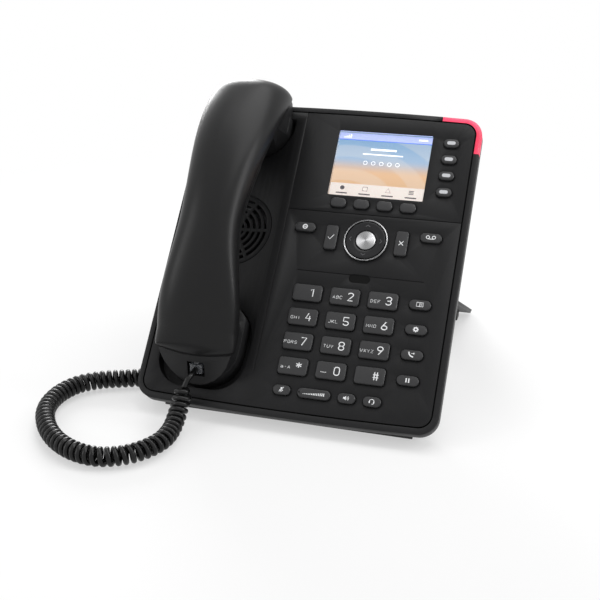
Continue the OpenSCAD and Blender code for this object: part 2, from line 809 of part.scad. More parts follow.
pad_size = [20, 8];
pad_x = stand_w / 2 - 18;
pad_back = 8;
stand_tip = stand_root + [0, stand_l * cos(stand_angle), 0];
module rubber_feet() {
    color("#151515") {
        translate([-foot_strip[0] / 2, -foot_strip[1] / 2, 0]) cube([foot_strip[0], foot_strip[1], foot_h]);
        difference() {
            for (s = [-1, 1]) translate([s * pad_x - pad_size[0] / 2, stand_tip[1] - pad_back - pad_size[1], 0])
                cube([pad_size[0], pad_size[1], 4 * foot_h + pad_size[1]]);
            on_stand() translate([-stand_w, 0, -stand_t - EPS]) cube([2 * stand_w, 2 * stand_l, case_l]);
        }
    }
}

// ---- handset ----
function ease(t) = let (u = min(1, max(0, t))) u * u * (3 - 2 * u);
// half width of the handset at slope height y
function hs_half(y) = waist_w / 2
    + (mouth_w - waist_w) / 2 * ease((narrow_y - y) / wide_low)
    + (ear_w - waist_w) / 2 * ease((y - narrow_y) / wide_high);
// half chord of a round end of radius r, at distance d from its tip
function chord(d, r) = d >= r ? r : sqrt(max(0.01, d * (2 * r - d)));
// the lesser of some widths, with eased corners
function least(v, n = 12) = pow(total([for (w = v) pow(w / v[0], -n)], len(v)), -1 / n) * v[0];
// half width in plan, inset by g, of a shell whose lower tip is at y0 with radius r0
function hs_plan(y, g, y0, r0) =
    least([hs_half(y) - g, chord(y - y0 - g, r0), chord(hs_high - g - y, ear_end_r)]);
function inner_plan(y, g) = hs_plan(y, g, hs_low, mouth_r);
function seam_arc(y) = seam_top - (seam_r - sqrt(pow(seam_r, 2) - pow(y - waist_y, 2)));
function seam_z(y) = y < waist_y ? max(seam_low, seam_arc(y)) : seam_arc(y);
hood_y = hs_low + hood;
function rounded(u) = pow(max(0.02, 1 - pow(max(0, u), 2.6)), 1 / 2.6);
function back_z(y) =
    let (r = y < waist_y ? back_low_r : back_r, full = hs_top - (r - sqrt(r * r - pow(y - waist_y, 2))))
    seam_z(y) + (full - seam_z(y)) * rounded((y - hs_high + ear_taper) / ear_taper)
        * rounded((hood_y + hood_taper - y) / hood_taper);

// stations along a shell from y0 to the ear end, closer together at both ends
mid_y = hood_y + 12;   // both shells share their stations from here on
function stations(y0, run) = concat(
    [for (a = [7.5:15:82.5]) y0 + run * (1 - cos(a))],
    y0 + run < mid_y ? [y0 + run, (y0 + run + mid_y) / 2] : [],
    [for (i = [0:17]) mid_y + i * (hs_high - 29.5 - mid_y) / 18],
    [for (a = [0:12:84]) hs_high - 29.5 + 29.5 * sin(a)],
    [hs_high - 0.05]);
OUTER_Y = stations(hood_y, 12);
INNER_Y = stations(hs_low, 16);

ARC = 20;
// closed section of the back, inset by g, reaching down past the seam by low
function back_section(y, g, low) =
    let (w = max(0.5, hs_plan(y, g, hood_y, hood_r)), h = max(0.4, back_z(y) - seam_z(y) - g), n = 2 / 2.5)
    concat([[-handset_x + w, y, seam_z(y) - low]],
        [for (i = [0:ARC]) let (a = 180 * i / ARC, c = cos(a), lift = h * pow(abs(sin(a)), n))
            [-handset_x + sign(c) * w * pow(abs(c), n), y, seam_z(y) + max(lift, i % ARC == 0 ? 0.01 : 0)]],
        [[-handset_x - w, y, seam_z(y) - low]]);

// skin over a list of closed sections
module loft(rings) {
    n = len(rings[0]);
    m = len(rings);
    polyhedron(
        points = [for (r = rings) each r],
        faces = concat(
            [[for (j = [0:n - 1]) j]],
            [for (i = [0:m - 2], j = [0:n - 1]) let (k = (j + 1) % n) each
                [[i * n + j, (i + 1) * n + j, (i + 1) * n + k],
                 [i * n + j, (i + 1) * n + k, i * n + k]]],
            [[for (j = [n - 1:-1:0]) (m - 1) * n + j]]));
}

// everything above the leaning mouth end
module mouth_end(g) {
    translate([-handset_x, hs_low + g, 0]) hull() for (z = [-2 * cup_d, 2 * hs_top])
        translate([-mouth_w, z * tan(end_lean), z]) cube([2 * mouth_w, 2 * hs_len, EPS]);
}

// plan of the handset, inset by g
module hs_outline(g) polygon(concat([for (y = INNER_Y) [-handset_x + max(1, inner_plan(y, g)), y]],
    [for (i = [len(INNER_Y) - 1:-1:0]) [-handset_x - max(1, inner_plan(INNER_Y[i], g)), INNER_Y[i]]]));

module handset_outer_shell() {
    color("#28282a") on_face() loft([for (y = OUTER_Y) back_section(y, 0, 0.3)]);
}

// underside of the handset: shallow along the grip, down to the face at both ends
drop_low = cup_low[1] + 14;
drop_high = cup_high - 48.8;
drop_run = 24;
function drop(y) = ease((y - drop_high) / drop_run) + ease((drop_low - y) / drop_run);
function under_z(y) = (seam_z(y) - grip_t) * (1 - drop(y)) + cap_over * drop(y);
// half width of the round part over each cup
function cap_half(y) = y < waist_y ? chord(hs_low + 2 * mouth_r - y, mouth_r)
    : chord(y - ear_cup_y + ear_cup_r - cap_gap, ear_cup_r - cap_gap);
function belly_section(y) =
    let (w = max(1, inner_plan(y, 0.25)), zt = seam_z(y) - 0.35, full = max(0.4, w - cap_inset),
        m = full + (min(full, max(3, cap_half(y))) - full) * drop(y))
    [[-handset_x + w, y, zt], [-handset_x + w, y, zt - 1.2], [-handset_x + m, y, under_z(y)],
     [-handset_x - m, y, under_z(y)], [-handset_x - w, y, zt - 1.2], [-handset_x - w, y, zt]];
cap_over = 1.2;
cap_gap = 0.8;
ear_c = [-handset_x, case_l - 21.5];
mouth_c = [-handset_x, hs_low + 22];
ear_r = 10;
mic_r = 5;
rj_z = 7.5;
rj_centre = [-handset_x + 0.5, hs_low + rj_z * tan(end_lean), rj_z];
rj = [10.6, 9, 9.5];      // recess for the cord plug
module on_mouth_end() {
    translate(rj_centre) rotate([90 - end_lean, 0, 0]) children();
}

module handset_inner_shell() {
    color("#1c1c1e") on_face() difference() {
        intersection() {
            union() {
                loft([for (y = INNER_Y) belly_section(y)]);
                // caps that sit in the cups
                slab(-cap_drop, cap_over + 3) intersection() {
                    ear_cup(cap_gap);
                    hs_outline(0.5);
                }
                slab(-cap_drop, cap_over + 3) intersection() {
                    mouth_cup(cap_gap);
                    hs_outline(0.5);
                }
            }
            mouth_end(0.3);
            translate([-case_w, hs_low + 0.5, -cup_d]) cube([2 * case_w, 2 * hs_len, 2 * hs_top]);
        }
        translate([ear_c[0], ear_c[1], -cap_drop + hs_wall]) cylinder(r = ear_r + 0.1, h = 8);
        translate([mouth_c[0], mouth_c[1], -cap_drop + hs_wall]) cylinder(r = mic_r + 0.1, h = 5);
        for (i = [0:5]) translate([ear_c[0] + 6 * cos(60 * i), ear_c[1] + 6 * sin(60 * i), -cap_drop - 1])
            cylinder(r = 1, h = hs_wall + 2, $fn = 24);
        translate([mouth_c[0], mouth_c[1], -cap_drop - 1]) cylinder(r = 1, h = hs_wall + 2, $fn = 24);
        on_mouth_end() translate([-rj[0] / 2, -rj[1] / 2, -rj[2]]) cube([rj[0], rj[1], 2 * rj[2]]);
    }
}

module earpiece_capsule() {
    color("#57585a") on_face() translate([ear_c[0], ear_c[1], -cap_drop + hs_wall + 0.1])
        rotate_extrude() polygon([[0, 0.6], [ear_r - 2, 0], [ear_r, 0], [ear_r, 3], [8, 7], [0, 7]]);
}

module mouthpiece_microphone() {
    color("#57585a") on_face() translate([mouth_c[0], mouth_c[1], -cap_drop + hs_wall + 0.1])
        cylinder(r = mic_r, h = 4);
}

// ---- cord ----
plug = [7.6, 5.8, 9.2];
module modular_plug() {
    translate([-plug[0] / 2, -plug[1] / 2, 0]) cube([plug[0], plug[1], plug[2]]);
    translate([-1.6, plug[1] / 2 - EPS, 0.6]) cube([3.2, 1, plug[2] - 2]);
}

module handset_plug() {
    color([0.8, 0.82, 0.84, 0.7]) on_face() on_mouth_end() translate([0, 0, -rj[2] + TOUCH]) modular_plug();
}

base_mouth = [handset_jack[0], step_y + wall + TOUCH + mouth_deep - TOUCH, jack_z];
plug_out = 15.6;
module base_plug() {
    color([0.8, 0.82, 0.84, 0.7]) on_face() translate(base_mouth) rotate([90, 0, 0]) {
        translate([-plug[0] / 2 + 0.2, -plug[1] / 2, 0]) cube([plug[0] - 0.4, plug[1], plug_out]);
    }
}

// ends of the cord at the two plugs, in the part's own frame
plug_stick = plug[2] - rj[2] + TOUCH;
function hs_out(d) = from_face(rj_centre + d * [0, -cos(end_lean), sin(end_lean)]);
function base_out(d) = from_face(base_mouth - [0, plug_out + d, 0]);
straight = 2;          // length of cord that stays in line at each end

// route of the cord, in the part's own frame
LEAD_PATH = [[-52.4, -13.4, 28.2], [-53.5, -16.6, 26.6]];
COIL_PATH = [[-54.5, -18.6, 23.6], [-55.8, -24, 14], [-55.8, -30, 9], [-55.4, -39, 6],
    [-55.8, -51, 6], [-60.8, -62, 6], [-69.8, -71, 6], [-82.8, -76, 6], [-97.8, -74, 6],
    [-112.8, -66, 6], [-125.8, -53, 6], [-134.8, -37, 6], [-136.8, -20, 6],
    [-131.8, -5, 6], [-120.8, 5, 6], [-106.8, 11, 6], [-93.8, 17, 6], [-82.8, 25, 6],
    [-74.8, 35, 6]];
BASE_PATH = [[-71.3, 39.5, 7], [-67.8, 42, 11], [-63.8, 41.5, 18], [-60.3, 40, 25]];

function unit(v) = v / norm(v);
function along(p, i) = unit(p[min(i + 1, len(p) - 1)] - p[max(i - 1, 0)]);
function ring_at(c, d, r, n) =
    let (s = unit(cross(d, abs(d[2]) > 0.9 ? [1, 0, 0] : [0, 0, 1])), t = cross(s, d))
    [for (j = [0:n - 1]) c + r * (s * cos(360 * j / n) + t * sin(360 * j / n))];
module tube(path, r, n) {
    loft([for (i = [0:len(path) - 1]) ring_at(path[i], along(path, i), r, n)]);
}

coil_in = unit(COIL_PATH[1] - COIL_PATH[0]);
coil_end = COIL_PATH[len(COIL_PATH) - 1];
coil_out = unit(coil_end - COIL_PATH[len(COIL_PATH) - 2]);
module handset_lead() {
    color("#1a1a1c") tube(concat([hs_out(plug_stick), hs_out(plug_stick + straight)], LEAD_PATH,
        [COIL_PATH[0] - straight * coil_in, COIL_PATH[0]]), cord_d / 2, 8);
}
module cord_coil() {
    color("#1a1a1c") tube(COIL_PATH, coil_d / 2, 12);
}
module base_lead() {
    color("#1a1a1c") tube(concat([coil_end, coil_end + straight * coil_out], BASE_PATH,
        [base_out(straight), base_out(0)]), cord_d / 2, 8);
}

// ---- keys ----
module key_1() dial_key(0);
module key_2() dial_key(1);
module key_3() dial_key(2);
module key_4() dial_key(3);
module key_5() dial_key(4);
module key_6() dial_key(5);
module key_7() dial_key(6);
module key_8() dial_key(7);
module key_9() dial_key(8);
module key_star() dial_key(9);
module key_0() dial_key(10);
module key_hash() dial_key(11);
module line_key_1() line_key(0);
module line_key_2() line_key(1);
module line_key_3() line_key(2);
module line_key_4() line_key(3);
module soft_key_1() key_at(soft_pos(0), soft_size);
module soft_key_2() key_at(soft_pos(1), soft_size);
module soft_key_3() key_at(soft_pos(2), soft_size);
module soft_key_4() key_at(soft_pos(3), soft_size);
module confirm_key() key_at(confirm_pos, side_size);
module cancel_key() key_at(cancel_pos, side_size);
module dnd_key() key_at(dnd_pos, pill_size);
module voicemail_key() key_at(voicemail_pos, pill_size);
module directory_key() key_at(side_pos(0), pill_size);
module settings_key() key_at(side_pos(1), pill_size);
module transfer_key() key_at(side_pos(2), pill_size);
module hold_key() key_at(side_pos(3), pill_size);
module mute_key() key_at(mute_pos, small_size);
module volume_rocker() rocker_key();
module speaker_key() key_at(speaker_pos, small_size);
module headset_key() key_at(headset_pos, small_size);

rear_housing();
front_frame();
faceplate();
alert_light();
display_window();
display_module();
nav_ring();
keypad_mat();
main_board();
loudspeaker();
rear_jacks();
handset_jacks();
stand();
rubber_feet();
housing_screws();
hook_switch();
key_1();
key_2();
key_3();
key_4();
key_5();
key_6();
key_7();
key_8();
key_9();
key_star();
key_0();
key_hash();
line_key_1();
line_key_2();
line_key_3();
line_key_4();
soft_key_1();
soft_key_2();
soft_key_3();
soft_key_4();
confirm_key();
cancel_key();
nav_rocker();
nav_pad();
ok_button();
dnd_key();
voicemail_key();
directory_key();
settings_key();
transfer_key();
hold_key();
mute_key();
volume_rocker();
speaker_key();
headset_key();
handset_outer_shell();
handset_inner_shell();
earpiece_capsule();
mouthpiece_microphone();
handset_plug();
handset_lead();
cord_coil();
base_lead();
base_plug();
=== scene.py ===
"""Desk telephone: finishes, printed legends, display, curly cord and stage.

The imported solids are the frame.  Everything here is in metres, in the same
frame: +X to the right, +Y away from the user, +Z up, with the origin under the
front foot.  Places on the sloping face are given in millimetres as (x, y, z):
x to the right, y up the slope, z out of the face.
"""

import json
import math

import bmesh
import bpy
from bpy.props import FloatProperty, FloatVectorProperty, IntProperty, PointerProperty
from mathutils import Matrix, Vector


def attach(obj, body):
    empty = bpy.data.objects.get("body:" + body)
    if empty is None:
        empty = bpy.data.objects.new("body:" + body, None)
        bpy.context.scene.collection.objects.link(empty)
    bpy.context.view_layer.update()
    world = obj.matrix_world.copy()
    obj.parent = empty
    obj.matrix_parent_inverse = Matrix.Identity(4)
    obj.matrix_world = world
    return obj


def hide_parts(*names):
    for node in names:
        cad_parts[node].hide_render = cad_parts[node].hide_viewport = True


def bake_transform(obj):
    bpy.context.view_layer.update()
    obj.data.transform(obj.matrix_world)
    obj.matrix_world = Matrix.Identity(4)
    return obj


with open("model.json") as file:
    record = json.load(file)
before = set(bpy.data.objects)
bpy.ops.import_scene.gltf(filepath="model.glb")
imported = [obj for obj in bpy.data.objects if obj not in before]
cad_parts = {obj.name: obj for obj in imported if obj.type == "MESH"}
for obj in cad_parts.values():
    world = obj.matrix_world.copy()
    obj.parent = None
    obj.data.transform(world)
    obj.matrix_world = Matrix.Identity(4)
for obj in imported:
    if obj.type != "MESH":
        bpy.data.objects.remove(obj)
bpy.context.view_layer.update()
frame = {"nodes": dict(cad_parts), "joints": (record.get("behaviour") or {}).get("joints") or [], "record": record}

bl_info = {
    "name": "Desk Telephone",
    "version": (1, 0, 0),
    "blender": (4, 5, 0),
    "location": "View3D > Sidebar > Telephone",
    "description": "Finishes, legends, display, cord and stage of a desk telephone",
    "category": "Object",
}

MM = 0.001

# ---- the face frame ----------------------------------------------------------

OUT = Vector(next(j["axis"] for j in frame["joints"] if j["name"] == "handset_lift"))
RIGHT = Vector((1.0, 0.0, 0.0))
UP_SLOPE = OUT.cross(RIGHT).normalized()
# the face is laid out about a line 1.2 mm to the right of the case's middle
FACE_ORIGIN = Vector((1.2, -14.6, 9.3)) * MM


def on_face(x, y, z=0.0):
    """Point of the face frame, in millimetres, as a point of the model."""
    return FACE_ORIGIN + (RIGHT * x + UP_SLOPE * y + OUT * z) * MM


# ---- sizes shared with the solids, in millimetres ----------------------------

KEY_RISE = 1.6
INK_LIFT = 0.004
DIAL = {"x": 1.6, "y": 75.9, "across": 22.6, "down": 15.1, "size": (17.6, 10.4)}
SIDE_X = 68.5
LINE_KEYS = {"x": 71.5, "y": 180.4, "down": 10.9, "lens": (5.2, 2.4)}
SOFT_KEYS = {"y": 135.6, "across": 14.2, "size": (9.8, 6.0)}
NAV = (30.3, 112.5)
PAD_TOP = 1.47
PAD_CHEVRON = ((8.7, 1.3), (9.7, 0.0), (8.7, -1.3))
CONFIRM = (9.1, 112.5)
CANCEL = (51.7, 112.5)
PILL_Y = 117.7
LOW_Y = 15.9
SCREEN = {"x": 30.6, "y": 163.0, "w": 57.6, "h": 43.2, "top": -2.41, "sheet": 0.03}
# place, size and depth of a dark sheet of painted shade in the notch of the slit
NOTCH_SHADE = {"x": 30.6, "y": 88.2, "size": (12.7, 5.1), "low": -0.59, "high": -0.54}

# ---- settings shown in the sidebar -------------------------------------------


def colour(name, description, default, alpha=1.0):
    """Colour property with four channels."""
    return FloatVectorProperty(
        name=name, description=description, subtype="COLOR", size=4, min=0.0, max=1.0,
        default=(*default, alpha),
    )


def length(name, description, millimetres, low=0.0, high=2.0):
    """Length property, given in millimetres."""
    return FloatProperty(
        name=name, description=description, default=millimetres * MM, min=low, max=high,
        subtype="DISTANCE", unit="LENGTH", precision=5,
    )


class PhoneColours(bpy.types.PropertyGroup):
    """Colours of the telephone's finishes."""

    face: colour("Faceplate", "Fine-grained plastic of the face", (0.0075, 0.0075, 0.008))
    case: colour("Case", "Rim, rear housing and stand", (0.007, 0.007, 0.0075))
    keys: colour("Keys", "Key caps", (0.02, 0.02, 0.021))
    handset: colour("Handset", "Outer shell of the handset", (0.006, 0.006, 0.0063))
    ink: colour("Legends", "Printed digits and symbols", (0.82, 0.83, 0.84))
    lens: colour("Lenses", "Light windows of the line keys", (0.5, 0.51, 0.53))
    alert: colour("Alert light", "Translucent corner light", (0.85, 0.06, 0.13))
    metal: colour("Bright metal", "Ring and centre button", (0.72, 0.72, 0.73))
    cord: colour("Cord", "Jacket of the cord", (0.003, 0.003, 0.0032))
    sky: colour("Display top", "Upper colour of the picture", (0.16, 0.38, 0.66))
    sand: colour("Display bottom", "Lower colour of the picture", (0.72, 0.42, 0.2))
    floor: colour("Floor", "Surface under the telephone", (0.86, 0.86, 0.86))


class PhoneSizes(bpy.types.PropertyGroup):
    """Sizes of the details that the solids leave open."""

    cord_wire: length("Cord diameter", "Diameter of the cord's jacket", 3.2)
    coil_outer: length("Coil diameter", "Outer diameter of the curly part", 11.4)
    coil_pitch: length("Coil pitch", "Advance of one turn along the route", 3.9)
    ink_rise: length("Legend height", "Height of the print over a key", 0.03)
    stroke: length("Stroke", "Line width of the symbols", 0.42)
    edge: length("Edge radius", "Rounding of moulded edges", 0.28)
    shell_steps: IntProperty(
        name="Shell steps", description="Stations along the handset", default=96, min=24,
        max=200,
    )


class StageSettings(bpy.types.PropertyGroup):
    """Camera and lights."""

    lens: FloatProperty(
        name="Lens", description="Focal length on a 36 mm sensor", default=62.4,
        min=20.0, max=200.0, subtype="DISTANCE_CAMERA",
    )
    ambient: FloatProperty(
        name="Ambient", description="Strength of the even light all round", default=0.5,
        min=0.0, max=2.0,
    )
    left: FloatProperty(
        name="Left softbox", description="Power of the left lamp", default=2.5,
        min=0.0, max=100.0, unit="POWER",
    )
    top: FloatProperty(
        name="Top softbox", description="Power of the overhead lamp", default=4.5,
        min=0.0, max=100.0, unit="POWER",
    )
    back: FloatProperty(
        name="Back softbox", description="Power of the lamp behind", default=8.0,
        min=0.0, max=100.0, unit="POWER",
    )
    right: FloatProperty(
        name="Right softbox", description="Power of the right lamp", default=3.5,
        min=0.0, max=100.0, unit="POWER",
    )


# ---- shader expressions ------------------------------------------------------


class Channel:
    """A number that varies over a surface; Python arithmetic adds its nodes."""

    def __init__(self, shader, socket):
        self.shader, self.socket = shader, socket

    def maths(self, operation, *values):
        return self.shader.node(
            "ShaderNodeMath", {"operation": operation}, dict(enumerate(values)))

    def __add__(self, other):
        return self.maths("ADD", self, other)

    __radd__ = __add__

    def __sub__(self, other):
        return self.maths("SUBTRACT", self, other)

    def __mul__(self, other):
        return self.maths("MULTIPLY", self, other)

    def __truediv__(self, other):
        return self.maths("DIVIDE", self, other)

    def __pow__(self, other):
        return self.maths("POWER", self, other)

    def sine(self):
        return self.maths("SINE", self)

    def between(self, low, high):
        """0 under low, 1 over high, eased between them."""
        return self.shader.node(
            "ShaderNodeMapRange", {"interpolation_type": "SMOOTHSTEP"},
            {"Value": self, "From Min": low, "From Max": high})


class Nodes:
    """A node tree under construction; every node comes from node()."""

    def __init__(self, tree):
        self.tree = tree
        self.tree.nodes.clear()

    def node(self, kind, settings=None, sockets=None, out=0):
        """Adds a node: its settings first, then the values or links of its sockets."""
        made = self.tree.nodes.new(kind)
        for key, value in (settings or {}).items():
            setattr(made, key, value)
        for key, value in (sockets or {}).items():
            if isinstance(value, Channel):
                self.tree.links.new(value.socket, made.inputs[key])
            else:
                made.inputs[key].default_value = value
        return Channel(self, made.outputs[out]) if made.outputs else None

    def seen_directly(self):
        """1 where a ray shows a thing itself, 0 where the thing lights others."""
        rays = [self.node("ShaderNodeLightPath", out=name)
                for name in ("Is Camera Ray", "Is Glossy Ray", "Is Transmission Ray")]
        seen = rays[0]
        for ray in rays[1:]:
            seen = seen.maths("MAXIMUM", seen, ray)
        return seen


class Shader(Nodes):
    """Material under construction: one Principled shader and what feeds it."""

    def __init__(self, name):
        self.material = bpy.data.materials.new(name)
        self.material.use_nodes = True
        super().__init__(self.material.node_tree)

    def output(self, surface):
        """Makes a shader the material's surface."""
        self.node("ShaderNodeOutputMaterial", sockets={"Surface": surface})
        return self.material

    def place(self):
        """Position in metres, the same in every piece."""
        return self.node("ShaderNodeTexCoord", out=3)

    def over_face(self, centre):
        """Metres from a point, to the right and up the slope."""
        offset = self.node("ShaderNodeVectorMath", {"operation": "SUBTRACT"},
                           {0: self.place(), 1: tuple(centre)})
        return [self.node("ShaderNodeVectorMath", {"operation": "DOT_PRODUCT"},
                          {0: offset, 1: tuple(axis)}, out=1) for axis in (RIGHT, UP_SLOPE)]

    def noise(self, scale, detail=2.0, roughness=0.5, stretch=(1.0, 1.0, 1.0)):
        """Noise from 0 to 1 with features of 1 / scale metres."""
        where = self.node("ShaderNodeVectorMath", {"operation": "MULTIPLY"},
                          {0: self.place(), 1: stretch})
        return self.node("ShaderNodeTexNoise", sockets={
            "Vector": where, "Scale": scale, "Detail": detail, "Roughness": roughness})

    def tint(self, factor, first, second):
        """Mix of two colours."""
        return self.node("ShaderNodeMix", {"data_type": "RGBA"},
                         {0: factor, 6: first, 7: second}, out=2)

    def bump(self, height, depth):
        """Relief of a depth in metres."""
        return self.node("ShaderNodeBump", sockets={
            "Height": height, "Distance": depth, "Strength": 1.0})

    def finish(self, **sockets):
        """Adds the Principled shader and the output; underscores stand for spaces."""
        surface = self.node("ShaderNodeBsdfPrincipled", sockets={
            key.replace("_", " "): value for key, value in sockets.items()})
        return self.output(surface)


# ---- finishes ----------------------------------------------------------------


def moulded(name, rgb, roughness=0.5, grain=1500.0, depth=0.05, specular=0.4):
    """Moulded plastic: spark-eroded grain, faint flow and handling marks."""
    s = Shader(name)
    fine = s.noise(grain, 3.0, 0.65)
    coarse = s.noise(grain / 9, 2.0, 0.5)
    marks = s.noise(38.0, 4.0, 0.6, (1.0, 0.35, 0.35)).between(0.45, 0.75)
    lighter = tuple(min(1.0, 1.6 * c + 0.002) for c in rgb[:3]) + (1.0,)
    return s.finish(
        Base_Color=s.tint(fine * 0.55 + coarse * 0.25, tuple(rgb), lighter),
        Roughness=roughness + (fine - 0.5) * 0.16 - marks * 0.05,
        Normal=s.bump(fine + coarse * 0.4, depth * MM),
        Specular_IOR_Level=specular)


def light_guide(name, rgb, deep):
    """Translucent light guide, lit from inside, its tint varying in broad clouds."""
    s = Shader(name)
    cloud = s.noise(60.0, 2.0)
    swirl = s.noise(900.0, 3.0)
    tint = s.tint(cloud.between(0.3, 0.7), tuple(deep), tuple(rgb))
    return s.finish(
        Base_Color=tint, Roughness=0.3 + swirl * 0.1, Emission_Color=tint,
        Emission_Strength=0.55, Normal=s.bump(swirl, 0.01 * MM))


def spun_metal(name, rgb, centre, roughness=0.26, contrast=0.7):
    """Bright metal turned on a lathe, with painted fans of highlight and shade round its middle."""
    s = Shader(name)
    x, y = s.over_face(centre)
    angle = y.maths("ARCTAN2", y, x)
    radius = (x * x + y * y) ** 0.5
    rings = s.node("ShaderNodeTexNoise", {"noise_dimensions": "1D"},
                   {"W": radius, "Scale": 9000.0, "Detail": 3.0})
    # painted reflection: the base colour lightens and darkens in two fans round the middle
    painted_highlight_fans = (angle * 2.0 + 0.9).sine() * 0.5 + 0.5
    dark = tuple(c * (1.0 - contrast) for c in rgb[:3]) + (1.0,)
    return s.finish(
        Base_Color=s.tint((painted_highlight_fans ** 1.6) * 0.85 + rings * 0.2, dark, tuple(rgb)),
        Metallic=1.0, Roughness=roughness + (rings - 0.5) * 0.2,
        Normal=s.bump(rings, 0.012 * MM))


def printed(name, rgb, glow=0.0):
    """Screen-printed ink or a pale lens, slightly uneven; its glow is the screen's own light on the display and
    painted light on the key legends and the lenses.
    """
    s = Shader(name)
    speck = s.noise(2600.0, 2.0)
    duller = tuple(0.86 * c for c in rgb[:3]) + (1.0,)
    tint = s.tint(speck.between(0.35, 0.65), duller, tuple(rgb))
    return s.finish(Base_Color=tint, Roughness=0.45 + speck * 0.15,
                    Emission_Color=tint, Emission_Strength=glow)


def rubber(name, rgb, roughness=0.6, sheen=0.15):
    """Soft rubber or silicone with a bloom on its surface."""
    s = Shader(name)
    bloom = s.noise(260.0, 4.0, 0.6)
    fine = s.noise(3200.0, 2.0)
    paler = tuple(c * 1.7 + 0.01 for c in rgb[:3]) + (1.0,)
    return s.finish(
        Base_Color=s.tint(bloom.between(0.4, 0.8), tuple(rgb), paler),
        Roughness=roughness + (fine - 0.5) * 0.12, Sheen_Weight=sheen,
        Normal=s.bump(fine, 0.015 * MM))


def cord_jacket(name, rgb):
    """Glossy cord jacket with fine lengthwise drawing marks."""
    s = Shader(name)
    fine = s.noise(2200.0, 3.0)
    dull = s.noise(120.0, 3.0)
    paler = tuple(c * 1.6 + 0.001 for c in rgb[:3]) + (1.0,)
    return s.finish(
        Base_Color=s.tint(dull, tuple(rgb), paler),
        Roughness=0.24 + dull * 0.1 + (fine - 0.5) * 0.08,
        Normal=s.bump(fine, 0.006 * MM), Specular_IOR_Level=0.28)


def clear_plastic(name, rgb):
    """Clear moulded plug."""
    s = Shader(name)
    swirl = s.noise(500.0, 3.0)
    return s.finish(Base_Color=s.tint(swirl, tuple(rgb), tuple(1.5 * c for c in rgb[:3]) + (1.0,)),
                    Roughness=0.12 + swirl * 0.1, Transmission_Weight=0.75, IOR=1.49,
                    Normal=s.bump(swirl, 0.02 * MM))


def window_glass(name):
    """Clear display cover."""
    s = Shader(name)
    smear = s.noise(45.0, 4.0, 0.6, (1.0, 0.3, 0.3))
    return s.finish(Base_Color=(1.0, 1.0, 1.0, 1.0), Roughness=0.02 + smear * 0.05,
                    Transmission_Weight=1.0, IOR=1.45)


def plated(name, rgb, roughness=0.35):
    """Plated or pressed metal."""
    s = Shader(name)
    grain = s.noise(1800.0, 3.0)
    bands = s.noise(300.0, 2.0, 0.5, (6.0, 0.6, 0.6))
    duller = tuple(c * 0.7 for c in rgb[:3]) + (1.0,)
    return s.finish(Base_Color=s.tint(bands, duller, tuple(rgb)), Metallic=1.0,
                    Roughness=roughness + (grain - 0.5) * 0.2,
                    Normal=s.bump(grain, 0.01 * MM))


def circuit(name):
    """Green solder mask with tracks under it."""
    s = Shader(name)
    tracks = s.node("ShaderNodeTexBrick", {"offset": 0.5}, {
        "Vector": s.place(), "Scale": 260.0, "Mortar Size": 0.012,
        "Color1": (0.01, 0.09, 0.035, 1.0), "Color2": (0.012, 0.11, 0.045, 1.0),
        "Mortar": (0.04, 0.2, 0.09, 1.0)})
    fine = s.noise(1500.0, 2.0)
    return s.finish(Base_Color=tracks, Roughness=0.35 + fine * 0.15,
                    Normal=s.bump(fine, 0.01 * MM))


def picture(name, sky, sand):
    """Lit picture of the display: soft wide arcs, blue above and sand below."""
    s = Shader(name)
    across, up = s.over_face(on_face(SCREEN["x"], SCREEN["y"]))
    across, up = across / (SCREEN["w"] * MM), up / (SCREEN["h"] * MM)
    pale_sand = tuple(min(1.0, 1.15 * c + 0.04) for c in sand[:3]) + (1.0,)
    pale_sky = tuple(min(1.0, 0.8 * c + 0.22) for c in sky[:3]) + (1.0,)
    lower = s.tint(up.between(-0.5, -0.1), tuple(sand), pale_sand)
    upper = s.tint(up.between(0.05, 0.5), pale_sky, tuple(sky))
    view = s.tint(up.between(-0.14, 0.12), lower, upper)
    right, rise = across + 0.34, up + 0.62
    reach = (right * right + rise * rise) ** 0.5
    arcs = (reach * 17.0).sine().between(-0.3, 0.3)
    lit = s.tint(arcs * 0.22, view, (0.9, 0.86, 0.8, 1.0))
    return s.finish(Base_Color=(0.02, 0.02, 0.02, 1.0), Roughness=0.2,
                    Emission_Color=lit, Emission_Strength=0.9)


# ---- mesh helpers ------------------------------------------------------------


def mesh_object(name, vertices, faces, smooth=False):
    """New object from lists of points and faces."""
    mesh = bpy.data.meshes.new(name)
    mesh.from_pydata([tuple(v) for v in vertices], [], faces)
    mesh.validate()
    obj = bpy.data.objects.new(name, mesh)
    bpy.context.scene.collection.objects.link(obj)
    if smooth:
        mesh.shade_smooth()
    return obj


def joined(name, parts):
    """One object from several [vertices, faces] parts."""
    vertices, faces = [], []
    for points, polygons in parts:
        start = len(vertices)
        vertices += points
        faces += [[start + i for i in polygon] for polygon in polygons]
    return mesh_object(name, vertices, faces)


def prism(outline, low, high, to_model):
    """Closed prism over a flat outline; to_model turns (x, y, z) into a point."""
    n = len(outline)
    points = [to_model(x, y, low) for x, y in outline]
    points += [to_model(x, y, high) for x, y in outline]
    sides = [[i, (i + 1) % n, n + (i + 1) % n, n + i] for i in range(n)]
    return points, [list(reversed(range(n))), list(range(n, 2 * n))] + sides


def rounded(width, height, radius, steps=6):
    """Outline of a rectangle with round corners, centred."""
    out = []
    for k, (sx, sy) in enumerate(((1, 1), (-1, 1), (-1, -1), (1, -1))):
        for i in range(steps + 1):
            a = math.radians(90 * (k + i / steps))
            out.append((sx * (width / 2 - radius) + radius * math.cos(a),
                        sy * (height / 2 - radius) + radius * math.sin(a)))
    return out


